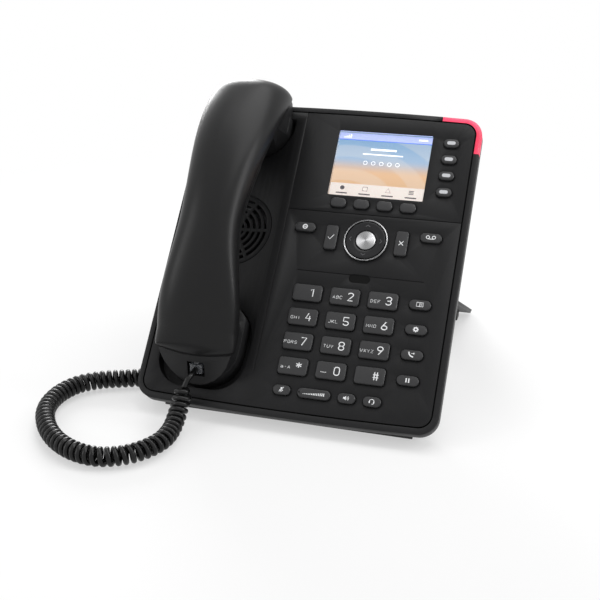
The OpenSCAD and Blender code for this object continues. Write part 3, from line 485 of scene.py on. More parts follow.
def stroke(points, width, closed=False, low=0.0, high=0.05, to_model=None):
    """Thin ribbon along a line of flat points, as prisms with mitred joints."""
    n = len(points)
    left, right = [], []
    for i, point in enumerate(points):
        before = points[i - 1] if i or closed else point
        after = points[(i + 1) % n] if i < n - 1 or closed else point
        dx, dy = after[0] - before[0], after[1] - before[1]
        size = math.hypot(dx, dy) or 1.0
        nx, ny = -dy / size * width / 2, dx / size * width / 2
        left.append((point[0] + nx, point[1] + ny))
        right.append((point[0] - nx, point[1] - ny))
    top = [to_model(x, y, high) for x, y in left + right]
    bottom = [to_model(x, y, low) for x, y in left + right]
    vertices, faces = top + bottom, []
    for i in range(n if closed else n - 1):
        j = (i + 1) % n
        faces += [[i, n + i, n + j, j], [2 * n + i, 2 * n + j, 3 * n + j, 3 * n + i],
                  [i, j, 2 * n + j, 2 * n + i], [n + i, 3 * n + i, 3 * n + j, n + j]]
    if not closed:
        e = n - 1
        faces += [[0, 2 * n, 3 * n, n], [e, n + e, 3 * n + e, 2 * n + e]]
    return vertices, faces


def arc(x, y, radius, start, end, steps=14):
    """Points of an arc, angles in degrees."""
    return [(x + radius * math.cos(math.radians(start + (end - start) * i / steps)),
             y + radius * math.sin(math.radians(start + (end - start) * i / steps)))
            for i in range(steps + 1)]


def soften(obj, width, angle=30.0):
    """Rounds the moulded edges of a solid and smooths its curved faces."""
    weld = obj.modifiers.new("weld", "WELD")
    weld.merge_threshold = 2e-6
    bevel = obj.modifiers.new("edges", "BEVEL")
    bevel.width = width
    bevel.segments = 2
    bevel.limit_method = "ANGLE"
    bevel.angle_limit = math.radians(angle)
    bevel.use_clamp_overlap = True
    bevel.harden_normals = True
    obj.data.shade_smooth()
    return obj


def dress(obj, material):
    """Gives every slot of an object one material."""
    obj.data.materials.clear()
    obj.data.materials.append(material)
    return obj


# ---- legends -----------------------------------------------------------------

DIAL_MARKS = (("1", ""), ("2", "ABC"), ("3", "DEF"), ("4", "GHI"), ("5", "JKL"),
              ("6", "MNO"), ("7", "PQRS"), ("8", "TUV"), ("9", "WXYZ"),
              ("*", "a-A"), ("0", ""), ("#", ""))
DIAL_NODES = [f"key_{n}" for n in (*range(1, 10), "star", 0, "hash")]
DIGIT = {"x": 3.6, "y": 0.0, "height": 4.7, "width": 3.1, "step": 3.6, "stroke": 0.56}
LETTERS = {"x": -4.1, "y": -0.9, "height": 1.75, "width": 1.35, "step": 2.1,
           "stroke": 0.2}

# strokes of the characters on a grid of 4 by 6: each run is column, row, column, row ...
GLYPHS = {
    "0": "03051636454130100103", "1": "052620", "2": "05163645440040",
    "3": "05163645443313 23334241301001", "4": "260242 3430",
    "5": "460603334241301001", "6": "36020110304142331302", "7": "064610",
    "8": "23334445361605041323 23334241301001021323", "9": "10444536160504133344",
    "#": "1016 3036 0242 0444", "*": "2622 0543 0345", "-": "1333",
    "A": "002640 1232", "B": "00063645443303 3342413000", "C": "4536160501103041",
    "D": "00062644422000", "E": "46060040 0333", "F": "460600 0333",
    "G": "45361605011030414323", "H": "0006 4046 0343", "I": "2026", "J": "4641301001",
    "K": "0006 4602 1340", "L": "060040", "M": "0006234640", "N": "00064046",
    "O": "03051636454130100103", "P": "00063645443303", "Q": "03051636454130100103 2240",
    "R": "00063645443303 2340", "S": "453616050413334241301001", "T": "0646 2620",
    "U": "060110304146", "V": "062046", "W": "0610243046", "X": "0046 0640",
    "Y": "062346 2320", "Z": "06460040", "a": "04344340 4212011040",
}
SHARP = math.radians(60.0)


def eased_turns(points):
    """The same line with its blunt corners cut twice into curves."""
    points = [Vector(p) for p in points]
    for _ in range(2):
        cut = [points[0]]
        for before, point, after in zip(points, points[1:], points[2:]):
            if (point - before).angle(after - point) > SHARP:
                cut.append(point)
            else:
                cut += [point.lerp(before, 0.25), point.lerp(after, 0.25)]
        points = cut + [points[-1]]
    return [tuple(p) for p in points]


def lettering(pen, text, look):
    """Draws characters in a row, centred on the look's place on the key."""
    column, row = look["width"] / 4, look["height"] / 6
    for i, character in enumerate(text):
        left = look["x"] + (i - (len(text) - 1) / 2) * look["step"] - look["width"] / 2
        for run in GLYPHS[character].split():
            line = [(left + column * int(c), look["y"] + row * (int(r) - 3))
                    for c, r in zip(run[::2], run[1::2])]
            pen.line(*eased_turns(line), width=look["stroke"] / pen.width)


def dial_place(i):
    """Middle of the i-th key of the dial, row by row."""
    return (DIAL["x"] + DIAL["across"] * (i % 3), DIAL["y"] - DIAL["down"] * (i // 3))


class Pen:
    """Draws the strokes of one symbol around its place on a key."""

    def __init__(self, x, y, width, rise, z=KEY_RISE):
        self.x, self.y, self.z, self.width = x, y, z, width / MM
        self.rise, self.parts = rise / MM, []

    def put(self, x, y, z):
        return on_face(self.x + x, self.y + y, self.z + z)

    def line(self, *points, width=1.0, closed=False):
        self.parts.append(stroke(list(points), self.width * width, closed, INK_LIFT,
                                 INK_LIFT + self.rise, self.put))

    def fill(self, outline):
        self.parts.append(prism(outline, INK_LIFT, INK_LIFT + self.rise, self.put))

    def disc(self, x, y, radius):
        self.fill(arc(x, y, radius, 0, 350, 24))

    def ring(self, x, y, radius, width=1.0):
        self.line(*arc(x, y, radius, 0, 345, 23), width=width, closed=True)

    def bar(self, x, y, width, height):
        self.fill([(x + width / 2, y - height / 2), (x + width / 2, y + height / 2),
                   (x - width / 2, y + height / 2), (x - width / 2, y - height / 2)])


def draw_check(pen):
    pen.line((-1.7, -0.1), (-0.5, -1.5), (1.8, 1.6))


def draw_cross(pen):
    pen.line((-1.3, -1.3), (1.3, 1.3))
    pen.line((-1.3, 1.3), (1.3, -1.3))


def draw_minus_disc(pen):
    pen.ring(0, 0, 1.25, 1.6)
    pen.bar(0, 0, 1.5, 0.5)


def draw_reels(pen):
    for side in (-1, 1):
        pen.ring(side * 1.75, 0.2, 0.95)
    pen.line((-1.75, -0.85), (1.75, -0.85))


def draw_book(pen):
    pen.line((-1.9, -1.2), (1.9, -1.2), (1.9, 1.2), (-1.9, 1.2), width=0.85, closed=True)
    pen.line((0, -1.2), (0, 1.2), width=0.8)
    for y in (0.45, -0.25):
        pen.line((0.55, y), (1.35, y), width=0.7)


def draw_gear(pen):
    pen.ring(0, 0, 0.95, 1.7)
    for k in range(8):
        a = math.radians(45 * k)
        pen.line((1.1 * math.cos(a), 1.1 * math.sin(a)),
                 (1.65 * math.cos(a), 1.65 * math.sin(a)), width=1.4)


def draw_transfer(pen):
    pen.line((-1.75, 1.25), (-1.45, 0.2), (-0.6, -0.75), (0.5, -1.2), width=1.7)
    pen.disc(-1.7, 1.15, 0.5)
    pen.disc(0.55, -1.15, 0.5)
    pen.line((-0.3, 0.75), (1.5, 0.75), width=0.8)
    pen.line((0.95, 1.25), (1.5, 0.75), (0.95, 0.25), width=0.8)


def draw_pause(pen):
    for side in (-1, 1):
        pen.bar(side * 0.75, 0, 0.75, 2.5)


def draw_muted(pen):
    pen.fill([(-0.5, -0.2), (0.5, -0.2), (0.5, 1.3), (-0.5, 1.3)])
    pen.line(*arc(0, 0.1, 1.0, 190, 350, 10), width=0.75)
    pen.line((0, -0.9), (0, -1.5), width=0.75)
    pen.line((-1.2, -1.3), (1.2, 1.5), width=0.75)


def draw_volume(pen):
    for k in range(13):
        height = 0.3 + 1.5 * k / 12
        pen.bar(-6.0 + k * 1.0, -0.9 + height / 2, 0.55, height)


def draw_speaker(pen):
    pen.fill([(-1.7, -0.5), (-1.0, -0.5), (-0.1, -1.3), (-0.1, 1.3), (-1.0, 0.5),
              (-1.7, 0.5)])
    for radius in (0.75, 1.5):
        pen.line(*arc(-0.1, 0, radius, -50, 50, 8), width=0.75)


def draw_headset(pen):
    pen.line(*arc(0, -0.1, 1.35, 0, 180, 14), width=0.8)
    for side in (-1, 1):
        pen.bar(side * 1.25, -0.45, 0.65, 1.1)
    pen.line((1.25, -1.0), (0.9, -1.45), (0.1, -1.5), width=0.7)


def draw_space(pen):
    x, y = LETTERS["x"], LETTERS["y"] - 0.5
    pen.line((x - 1.6, y + 0.4), (x - 1.6, y), (x + 1.6, y), (x + 1.6, y + 0.4), width=0.6)


SYMBOLS = (
    ("confirm_key", CONFIRM, draw_check), ("cancel_key", CANCEL, draw_cross),
    ("dnd_key", (-7.8, PILL_Y), draw_minus_disc),
    ("voicemail_key", (SIDE_X, PILL_Y), draw_reels),
    ("directory_key", (SIDE_X, 75.9), draw_book),
    ("settings_key", (SIDE_X, 60.8), draw_gear),
    ("transfer_key", (SIDE_X, 45.7), draw_transfer),
    ("hold_key", (SIDE_X, 30.6), draw_pause),
    ("mute_key", (-2.2, LOW_Y), draw_muted),
    ("volume_rocker", (16.9, LOW_Y), draw_volume),
    ("speaker_key", (35.9, LOW_Y), draw_speaker),
    ("headset_key", (50.6, LOW_Y), draw_headset),
)


# ---- operators ---------------------------------------------------------------


def settings():
    """The three groups of settings."""
    scene = bpy.context.scene
    return scene.phone_colours, scene.phone_sizes, scene.phone_stage


def finish_piece(obj, body, material):
    """Rides on a body and takes its material."""
    dress(obj, material)
    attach(obj, body)
    return obj


class PHONE_OT_finishes(bpy.types.Operator):
    """Gives every solid its finish and rounds its moulded edges"""

    bl_idname = "phone.finishes"
    bl_label = "Finishes"

    def execute(self, context):
        tint, sizes, _ = settings()
        centre = on_face(*NAV)
        case = moulded("case_plastic", tint.case, 0.46, 1300.0, 0.05, 0.22)
        keys = moulded("key_plastic", tint.keys, 0.4, 1900.0, 0.03, 0.36)
        finishes = {
            "housing": case, "rim": case, "stand": case, "key": keys, "line_key": keys,
            "faceplate": moulded("face_plastic", tint.face, 0.5, 1500.0, 0.05, 0.16),
            "alert_light": light_guide("alert_guide", tint.alert, (0.6, 0.02, 0.06, 1.0)),
            "window": window_glass("display_cover"),
            "display": plated("display_frame", (0.3, 0.3, 0.32, 1.0)),
            "bright_ring": spun_metal("spun_metal", tint.metal, centre),
            "silicone": rubber("key_mat", (0.09, 0.09, 0.1, 1.0)),
            "circuit_board": circuit("solder_mask"),
            "speaker": plated("speaker_basket", (0.2, 0.2, 0.21, 1.0), 0.5),
            "jack": moulded("socket_plastic", (0.05, 0.05, 0.055, 1.0), 0.38, 2200.0, 0.02),
            "rubber": rubber("foot_rubber", (0.012, 0.012, 0.012, 1.0)),
            "steel": plated("zinc_plate", (0.62, 0.62, 0.6, 1.0)),
            "hook": moulded("hook_plastic", (0.03, 0.03, 0.032, 1.0), 0.4, 2000.0, 0.02),
            "pad": moulded("pad_plastic", (0.008, 0.008, 0.009, 1.0), 0.26, 2400.0, 0.01, 0.25),
            "grip": moulded("handset_plastic", tint.handset, 0.34, 1700.0, 0.012, 0.2),
            "grip_inner": moulded("handset_inner", tint.case, 0.5, 1500.0, 0.04, 0.3),
            "clear_plug": clear_plastic("clear_plug", (0.2, 0.21, 0.23, 1.0)),
            "cord": cord_jacket("cord_jacket", tint.cord),
        }
        for part in frame["record"]["subparts"]:
            node = frame["nodes"][part["node"]]
            dress(node, finishes[part["material_slot"]])
            if part["material_slot"] not in ("circuit_board", "silicone", "window"):
                soften(node, sizes.edge)
        return {"FINISHED"}


class PHONE_OT_legends(bpy.types.Operator):
    """Prints the digits and letters of the dial keys"""

    bl_idname = "phone.legends"
    bl_label = "Dial legends"

    def execute(self, context):
        tint, sizes, _ = settings()
        # the legends' glow is painted light that brightens the white print
        ink = printed("legend_ink", tint.ink, 0.12)
        for i, (node, (digit, letters)) in enumerate(zip(DIAL_NODES, DIAL_MARKS)):
            pen = Pen(*dial_place(i), sizes.stroke, sizes.ink_rise)
            lettering(pen, digit, DIGIT)
            lettering(pen, letters, LETTERS)
            if digit == "0":
                draw_space(pen)
            finish_piece(joined(f"legend_{node}", pen.parts), node, ink)
        for node, place, draw in SYMBOLS:
            pen = Pen(*place, sizes.stroke, sizes.ink_rise)
            draw(pen)
            finish_piece(joined(f"legend_{node}", pen.parts), node, ink)
        return {"FINISHED"}


# ---- handset form, in millimetres --------------------------------------------

GRIP = {
    "x": -54.0, "low": 12.0, "high": 208.0, "waist_y": 115.0, "narrow_y": 102.0,
    "ear_half": 25.0, "mouth_half": 24.8, "waist_half": 18.3,
    "wide_low": 57.0, "wide_high": 82.0,
    "top": 50.0, "seam": 35.0, "seam_low": 15.0, "seam_r": 155.0,
    "back_r": 195.0, "back_low_r": 150.0,
    "hood_y": 25.4, "hood_r": 90.0, "ear_r": 42.0, "taper": 18.0, "hood_taper": 6.0, "gap": 0.3,
    "end_power": 2.6, "dome_power": 0.8, "low_steps": 14.0, "high_steps": 32.0,
}


def ease(t):
    """0 under 0, 1 over 1, eased between them."""
    t = min(1.0, max(0.0, t))
    return t * t * (3 - 2 * t)


def chord(distance, radius):
    """Half chord of a round end at a distance from its tip."""
    if distance >= radius:
        return radius
    return math.sqrt(max(0.01, distance * (2 * radius - distance)))


def least(widths, n=12):
    """The lesser of some widths, with eased corners."""
    first = widths[0]
    return first * sum((w / first) ** -n for w in widths) ** (-1 / n)


def plan_half(y):
    """Half width of the shell at slope height y."""
    g = GRIP
    side = (g["waist_half"]
            + (g["mouth_half"] - g["waist_half"]) * ease((g["narrow_y"] - y) / g["wide_low"])
            + (g["ear_half"] - g["waist_half"]) * ease((y - g["narrow_y"]) / g["wide_high"]))
    return max(0.5, least((side, chord(y - g["hood_y"], g["hood_r"]),
                           chord(g["high"] - y, g["ear_r"]))))


def drop_of_arc(radius, y):
    """How far an arc with its crown at the waist has fallen at y."""
    return radius - math.sqrt(radius ** 2 - (y - GRIP["waist_y"]) ** 2)


def seam_height(y):
    """Height of the seam over the face."""
    g = GRIP
    arch = g["seam"] - drop_of_arc(g["seam_r"], y)
    return max(g["seam_low"], arch) if y < g["waist_y"] else arch


def rounded_off(u):
    """Runs from 1 at u = 0 down to almost 0 at u = 1, like the end of a full ellipse."""
    power = GRIP["end_power"]
    return max(0.02, 1.0 - max(0.0, u) ** power) ** (1 / power)


def back_height(y):
    """Height of the back's ridge over the face."""
    g = GRIP
    radius = g["back_low_r"] if y < g["waist_y"] else g["back_r"]
    full = g["top"] - drop_of_arc(radius, y)
    low = seam_height(y)
    return (low + (full - low) * rounded_off((y - g["high"] + g["taper"]) / g["taper"])
            * rounded_off((g["hood_y"] + g["hood_taper"] - y) / g["hood_taper"]))


def shell_ring(y, around=44):
    """Section of the outer shell: a lip at the seam, then the domed back."""
    g = GRIP
    w, seam = plan_half(y), seam_height(y)
    h = max(0.4, back_height(y) - seam)
    side = [(w - 0.55, -g["gap"] + 0.02), (w - 0.55, 0.12), (w - 0.12, 0.3), (w, 0.6)]
    dome = []
    for i in range(1, around):
        a = math.pi * i / around
        c = math.cos(a)
        dome.append((math.copysign(w * abs(c) ** g["dome_power"], c),
                     h * math.sin(a) ** g["dome_power"]))
    dome = [(x, max(z, 0.6)) for x, z in dome]
    ring = side + dome + [(-x, z) for x, z in reversed(side)]
    return [(g["x"] + x, y, seam + z) for x, z in ring]


def shell_stations(steps):
    """Stations along the shell, closer together towards both rounded ends."""
    g = GRIP
    low, high = g["hood_y"] + 0.05, g["high"] - 0.05
    first, last, part = g["low_steps"], g["high_steps"], steps // 3
    near = [low + first * (1 - math.cos(math.pi / 2 * i / part)) for i in range(part)]
    run = [low + first + (high - last - low - first) * i / part for i in range(part)]
    far = [high - last + last * math.sin(math.pi / 2 * i / part) for i in range(part + 1)]
    return near + run + far


class PHONE_OT_handset(bpy.types.Operator):
    """Builds the domed outer shell of the handset with its seam"""

    bl_idname = "phone.handset"
    bl_label = "Handset shell"

    def execute(self, context):
        _, sizes, _ = settings()
        rings = [shell_ring(y) for y in shell_stations(sizes.shell_steps)]
        steps = len(rings) - 1
        n = len(rings[0])
        points = [on_face(*p) for ring in rings for p in ring]
        faces = [[j for j in range(n)], [steps * n + n - 1 - j for j in range(n)]]
        for i in range(steps):
            for j in range(n):
                k = (j + 1) % n
                faces.append([i * n + j, (i + 1) * n + j, (i + 1) * n + k, i * n + k])
        shell = mesh_object("handset_back", points, faces, smooth=True)
        mesh = bmesh.new()
        mesh.from_mesh(shell.data)
        bmesh.ops.recalc_face_normals(mesh, faces=mesh.faces)
        mesh.to_mesh(shell.data)
        mesh.free()
        shell.data.set_sharp_from_angle(angle=math.radians(38.0))
        finish_piece(shell, "handset", bpy.data.materials["handset_plastic"])
        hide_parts("handset_outer_shell")
        return {"FINISHED"}


# ---- display -----------------------------------------------------------------

BARS = {"status": 4.4, "labels": 8.6, "rule": 0.5}


def screen_pen(depth=0.02):
    """Pen over the lit picture, at depth above it."""
    _, sizes, _ = settings()
    return Pen(SCREEN["x"], SCREEN["y"], sizes.stroke * 0.8, sizes.ink_rise * 0.5,
               z=SCREEN["top"] + depth)


class PHONE_OT_display(bpy.types.Operator):
    """Lights the display: picture, status bar and soft labels"""

    bl_idname = "phone.display"
    bl_label = "Display"

    def execute(self, context):
        tint, _, _ = settings()
        w, h = SCREEN["w"], SCREEN["h"]
        outline = rounded(w + 0.5, h + 0.5, 0.5)
        sheet = mesh_object("display_picture", *prism(
            outline, SCREEN["top"] - SCREEN["sheet"], SCREEN["top"],
            lambda x, y, z: on_face(SCREEN["x"] + x, SCREEN["y"] + y, z)))
        finish_piece(sheet, "base", picture("display_picture", tint.sky, tint.sand))

        strips = {
            "display_status": ((0.34, 0.4, 0.72, 1.0), h / 2 - BARS["status"] / 2,
                               BARS["status"], 0.9),
            "display_rule": ((0.03, 0.13, 0.62, 1.0), h / 2 - BARS["status"] - 0.3,
                             BARS["rule"], 0.95),
            "display_labels": ((0.62, 0.56, 0.52, 1.0), -h / 2 + BARS["labels"] / 2,
                               BARS["labels"], 0.8),
        }
        for name, (rgb, y, height, glow) in strips.items():
            pen = screen_pen()
            pen.bar(0, y, w + 0.3, height)
            finish_piece(joined(name, pen.parts), "base", printed(name, rgb, glow))

        pale, dark = screen_pen(0.06), screen_pen(0.06)
        top = h / 2 - BARS["status"] / 2
        for k in range(4):
            pale.bar(-w / 2 + 3.0 + 1.3 * k, top - 1.0 + 0.3 * k, 0.7, 0.8 + 0.6 * k)
        pale.bar(w / 2 - 5.4, top, 5.6, 1.0)
        pale.bar(0.0, 11.0, 16.0, 1.3)
        pale.bar(0.0, 7.6, 25.0, 0.8)
        for k in range(5):
            pale.ring(5.0 * (k - 2), 1.6, 1.2, 0.9)
        low = -h / 2 + BARS["labels"] / 2
        across = [SOFT_KEYS["across"] * (k - 1.5) for k in range(4)]
        for x in across:
            dark.bar(x, low - 2.3, 7.0, 0.8)
        dark.disc(across[0], low + 1.2, 1.4)
        dark.line((across[1] - 1.4, low), (across[1] + 1.4, low), (across[1] + 1.4, low + 2.6),
                  (across[1] - 1.4, low + 2.6), closed=True)
        dark.line((across[2] - 1.6, low), (across[2] + 1.6, low), (across[2], low + 2.7),
                  closed=True)
        for y in (0.2, 1.2, 2.2):
            dark.bar(across[3], low + y, 3.0, 0.5)
        finish_piece(joined("display_marks_pale", pale.parts), "base",
                     printed("display_pale", (0.9, 0.92, 0.95, 1.0), 0.9))
        finish_piece(joined("display_marks_dark", dark.parts), "base",
                     printed("display_dark", (0.06, 0.05, 0.06, 1.0), 0.1))
        return {"FINISHED"}


class PHONE_OT_lenses(bpy.types.Operator):
    """Fits the line keys' lenses, the pad's marks and a dark sheet of painted shade in the notch of the slit"""

    bl_idname = "phone.lenses"
    bl_label = "Lenses, pad marks and notch"

    def execute(self, context):
        tint, sizes, _ = settings()
        # the lenses' glow is painted light that brightens them
        lens = printed("line_lens", tint.lens, 0.15)
        w, h = LINE_KEYS["lens"]
        for i in range(4):
            y = LINE_KEYS["y"] - LINE_KEYS["down"] * i
            vertices, faces = prism(
                rounded(w - 0.1, h - 0.1, h / 2 - 0.1), -0.3, 0.06,
                lambda px, py, pz, y=y: on_face(LINE_KEYS["x"] + px, y + py, KEY_RISE + pz))
            piece = mesh_object(f"lens_line_key_{i + 1}", vertices, faces)
            finish_piece(soften(piece, 0.05 * MM), f"line_key_{i + 1}", lens)
        pad = Pen(*NAV, sizes.stroke * 1.1, sizes.ink_rise, z=PAD_TOP)
        for k in range(4):
            a = math.radians(90 * k)
            c, s = math.cos(a), math.sin(a)
            pad.line(*[(c * x - s * y, s * x + c * y) for x, y in PAD_CHEVRON])
        # a near-black sheet in the notch: painted shade of the recess
        notch = prism(rounded(*NOTCH_SHADE["size"], NOTCH_SHADE["size"][1] / 2 - 0.05),
                      NOTCH_SHADE["low"], NOTCH_SHADE["high"],
                      lambda px, py, pz: on_face(NOTCH_SHADE["x"] + px, NOTCH_SHADE["y"] + py, pz))
        piece = mesh_object("slit_notch", *notch)
        finish_piece(soften(piece, 0.04 * MM), "base",
                     moulded("notch_plastic", (0.002, 0.002, 0.002, 1.0), 0.3, 2400.0, 0.01, 0.1))
        finish_piece(joined("pad_marks", pad.parts), "nav_pad",
                     printed("pad_ink", (0.07, 0.07, 0.075, 1.0), 0.0))
        return {"FINISHED"}


# ---- cord --------------------------------------------------------------------

# route of the cord, the same as that of the solids, in metres
LEAD_ROUTE = ((-0.0523, -0.00674, 0.02868), (-0.0523, -0.00873, 0.02861),
              (-0.0524, -0.0134, 0.0282), (-0.0535, -0.0166, 0.0266))
COIL_ROUTE = (
    (-0.0545, -0.0186, 0.0236), (-0.0558, -0.024, 0.014), (-0.0558, -0.030, 0.009),
    (-0.0554, -0.039, 0.006), (-0.0558, -0.051, 0.006), (-0.0608, -0.062, 0.006),
    (-0.0698, -0.071, 0.006), (-0.0828, -0.076, 0.006), (-0.0978, -0.074, 0.006),
    (-0.1128, -0.066, 0.006), (-0.1258, -0.053, 0.006), (-0.1348, -0.037, 0.006),
    (-0.1368, -0.020, 0.006), (-0.1318, -0.005, 0.006), (-0.1208, 0.005, 0.006),
    (-0.1068, 0.011, 0.006), (-0.0938, 0.017, 0.006), (-0.0828, 0.025, 0.006),
    (-0.0748, 0.035, 0.006))
BASE_ROUTE = ((-0.0713, 0.0395, 0.007), (-0.0678, 0.042, 0.011), (-0.0638, 0.0415, 0.018),
              (-0.0603, 0.040, 0.025), (-0.0588, 0.04801, 0.04198), (-0.0588, 0.04937, 0.04344))


COIL_TURN = 16      # points of one turn
COIL_EASE = 1.2     # turns over which the coil opens at each end


def smooth_route(points, spacing):
    """Even points along a smooth curve through the given ones."""
    points = [Vector(p) for p in points]
    padded = [2 * points[0] - points[1], *points, 2 * points[-1] - points[-2]]
    dense = []
    for p0, p1, p2, p3 in zip(padded, padded[1:], padded[2:], padded[3:]):
        for k in range(24):
            t = k / 24
            dense.append(0.5 * (2 * p1 + (p2 - p0) * t + (2 * p0 - 5 * p1 + 4 * p2 - p3) * t * t
                                + (3 * p1 - p0 - 3 * p2 + p3) * t ** 3))
    dense.append(points[-1])
    run = [0.0]
    for a, b in zip(dense, dense[1:]):
        run.append(run[-1] + (b - a).length)
    count = max(2, round(run[-1] / spacing))
    out, k = [], 0
    for i in range(count + 1):
        goal = run[-1] * i / count
        while k < len(run) - 2 and run[k + 1] < goal:
            k += 1
        t = (goal - run[k]) / max(run[k + 1] - run[k], 1e-12)
        out.append(dense[k].lerp(dense[k + 1], min(1.0, t)))
    return out


def frames(points):
    """Tangent and two normals at each point, carried along without twist."""
    normal, out = None, []
    for i, point in enumerate(points):
        tangent = (points[min(i + 1, len(points) - 1)] - points[max(i - 1, 0)]).normalized()
        if normal is None:
            normal = tangent.orthogonal().normalized()
        normal = (normal - tangent * normal.dot(tangent)).normalized()
        out.append((tangent, normal, tangent.cross(normal)))
    return out


def tube(name, points, radius, sides=10):
    """Closed tube round a line of points."""
    vertices, faces = [], []
    for point, (_, a, b) in zip(points, frames(points)):
        for k in range(sides):
            t = 2 * math.pi * k / sides
            vertices.append(point + (a * math.cos(t) + b * math.sin(t)) * radius)
    for i in range(len(points) - 1):
        for k in range(sides):
            j = (k + 1) % sides
            faces.append([i * sides + k, (i + 1) * sides + k, (i + 1) * sides + j,
                          i * sides + j])
    last = (len(points) - 1) * sides
    faces += [list(range(sides)), [last + sides - 1 - k for k in range(sides)]]
    return mesh_object(name, vertices, faces, smooth=True)


class PHONE_OT_cord(bpy.types.Operator):
    """Winds the curly cord between the handset and its socket"""

    bl_idname = "phone.cord"
    bl_label = "Curly cord"

    def execute(self, context):
        _, sizes, _ = settings()
        wire = sizes.cord_wire / 2
        offset = sizes.coil_outer / 2 - wire
        turn = COIL_TURN
        route = smooth_route(COIL_ROUTE, sizes.coil_pitch / turn)
        count = len(route)
        coil = []
        for i, (point, (_, a, b)) in enumerate(zip(route, frames(route))):
            t = 2 * math.pi * i / turn
            ends = min(1.0, min(i, count - 1 - i) / (COIL_EASE * turn))
            reach = offset * ends * ends * (3 - 2 * ends)
            coil.append(point + (a * math.cos(t) + b * math.sin(t)) * reach)
        lead = smooth_route([*LEAD_ROUTE, coil[0]], 0.0012)
        tail = smooth_route([coil[-1], *BASE_ROUTE], 0.0015)
        path = lead[:-1] + coil + tail[1:]
        cord = tube("curly_cord", path, wire)
        dress(cord, bpy.data.materials["cord_jacket"])
        span = sum((b - a).length for a, b in zip(path, path[1:]))
        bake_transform(cord)
        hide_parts("handset_lead", "cord_coil", "base_lead")
        return {"FINISHED"}


# ---- stage -------------------------------------------------------------------

CAMERA = {"place": (0.1607, -0.50464, 0.30315), "azimuth": 16.72, "elevation": 23.26,
          "roll": -0.44}
WHITE = (1.0, 1.0, 1.0, 1.0)
LIT_POINT = (0.0, 0.05, 0.08)
# place, width and height of each lamp, in metres
LAMPS = {
    "top": ((0.12, 0.22, 0.95), 0.9, 0.6),
    "left": ((-0.9, -0.5, 0.6), 0.3, 0.8),
    "back": ((-0.58, 0.95, 0.42), 0.5, 0.5),
    "right": ((0.9, 0.12, 0.52), 0.14, 0.8),
}
# half side, drop under the feet, white share under the object and where it rises to one
FLOOR = {"size": 6.0, "drop": 0.0002, "white_near": 0.5, "fade": (0.2, 0.6)}


def softbox(name, place, aim, width, height, power):
    """Rectangular area lamp that looks at a point."""
    lamp = bpy.data.lights.new(name, "AREA")
    lamp.shape = "RECTANGLE"
    lamp.size, lamp.size_y, lamp.energy = width, height, power
    obj = bpy.data.objects.new(name, lamp)
    bpy.context.scene.collection.objects.link(obj)
    obj.location = place
    obj.rotation_euler = (Vector(aim) - Vector(place)).to_track_quat("-Z", "Y").to_euler()
    return obj


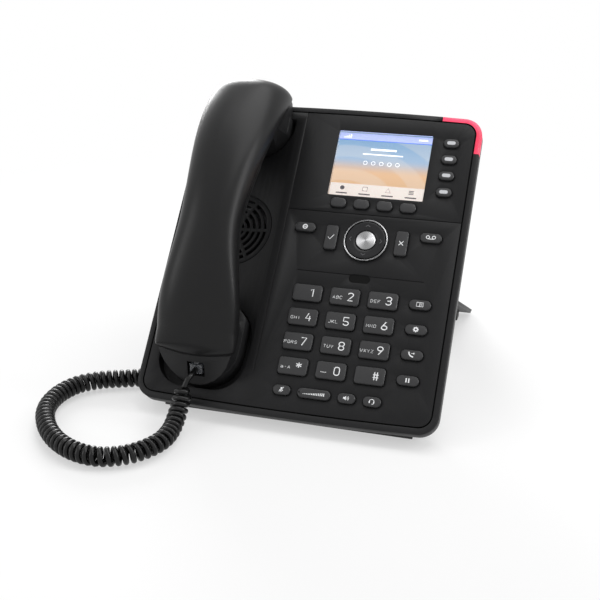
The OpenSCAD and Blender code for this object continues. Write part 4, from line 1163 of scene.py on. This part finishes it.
class PHONE_OT_stage(bpy.types.Operator):
    """Sets the camera, the softboxes, the floor and the white surroundings"""

    bl_idname = "phone.stage"
    bl_label = "Stage"

    def execute(self, context):
        tint, _, stage = settings()
        scene = context.scene
        scene.view_settings.view_transform = "Standard"

        camera = bpy.data.cameras.new("camera")
        camera.sensor_width, camera.lens = 36.0, stage.lens
        camera.clip_start, camera.clip_end = 0.01, 50.0
        viewer = bpy.data.objects.new("camera", camera)
        scene.collection.objects.link(viewer)
        turn = (Matrix.Rotation(math.radians(CAMERA["azimuth"]), 4, "Z")
                @ Matrix.Rotation(math.radians(90 - CAMERA["elevation"]), 4, "X")
                @ Matrix.Rotation(math.radians(CAMERA["roll"]), 4, "Z"))
        viewer.matrix_world = Matrix.Translation(CAMERA["place"]) @ turn
        scene.camera = viewer

        for side, (place, width, height) in LAMPS.items():
            softbox(f"{side}_softbox", place, LIT_POINT, width, height, getattr(stage, side))

        world = bpy.data.worlds.new("surroundings")
        world.use_nodes = True
        scene.world = world
        sky = Nodes(world.node_tree)
        even, white = (
            sky.node("ShaderNodeBackground", sockets={"Color": WHITE, "Strength": strength})
            for strength in (stage.ambient, 1.0))
        mixed = sky.node("ShaderNodeMixShader", sockets={
            0: sky.seen_directly(), 1: even, 2: white})
        sky.node("ShaderNodeOutputWorld", sockets={"Surface": mixed})

        size = FLOOR["size"]
        floor = mesh_object("floor", [(-size, -size, 0), (size, -size, 0), (size, size, 0),
                                      (-size, size, 0)], [[0, 1, 2, 3]])
        floor.location.z = -FLOOR["drop"]
        s = Shader("floor")
        lit = s.node("ShaderNodeBsdfDiffuse", sockets={"Color": tuple(tint.floor)})
        white = s.node("ShaderNodeEmission", sockets={"Color": WHITE})
        away = s.node("ShaderNodeVectorMath", {"operation": "LENGTH"}, {0: s.place()}, out=1)
        near = FLOOR["white_near"]
        share = s.seen_directly() * (away.between(*FLOOR["fade"]) * (1.0 - near) + near)
        dress(floor, s.output(s.node("ShaderNodeMixShader", sockets={
            0: share, 1: lit, 2: white})))
        return {"FINISHED"}


# ---- add-on ------------------------------------------------------------------

STEPS = (PHONE_OT_stage, PHONE_OT_finishes, PHONE_OT_cord, PHONE_OT_handset,
         PHONE_OT_legends, PHONE_OT_display, PHONE_OT_lenses)
GROUPS = {"phone_colours": PhoneColours, "phone_sizes": PhoneSizes,
          "phone_stage": StageSettings}


class PHONE_PT_panel(bpy.types.Panel):
    """Sizes, colours and steps of the telephone"""

    bl_idname = "PHONE_PT_panel"
    bl_label = "Desk Telephone"
    bl_space_type = "VIEW_3D"
    bl_region_type = "UI"
    bl_category = "Telephone"

    def draw(self, context):
        for step in STEPS:
            self.layout.operator(step.bl_idname)
        for name, group in GROUPS.items():
            box = self.layout.box()
            for key in group.__annotations__:
                box.prop(getattr(context.scene, name), key)


def register():
    for cls in (*GROUPS.values(), *STEPS, PHONE_PT_panel):
        bpy.utils.register_class(cls)
    for name, group in GROUPS.items():
        setattr(bpy.types.Scene, name, PointerProperty(type=group))


def unregister():
    for name in GROUPS:
        delattr(bpy.types.Scene, name)
    for cls in reversed((*GROUPS.values(), *STEPS, PHONE_PT_panel)):
        bpy.utils.unregister_class(cls)


def main():
    register()
    for step in STEPS:
        category, name = step.bl_idname.split(".")
        getattr(getattr(bpy.ops, category), name)()


if __name__ == "__main__":
    main()
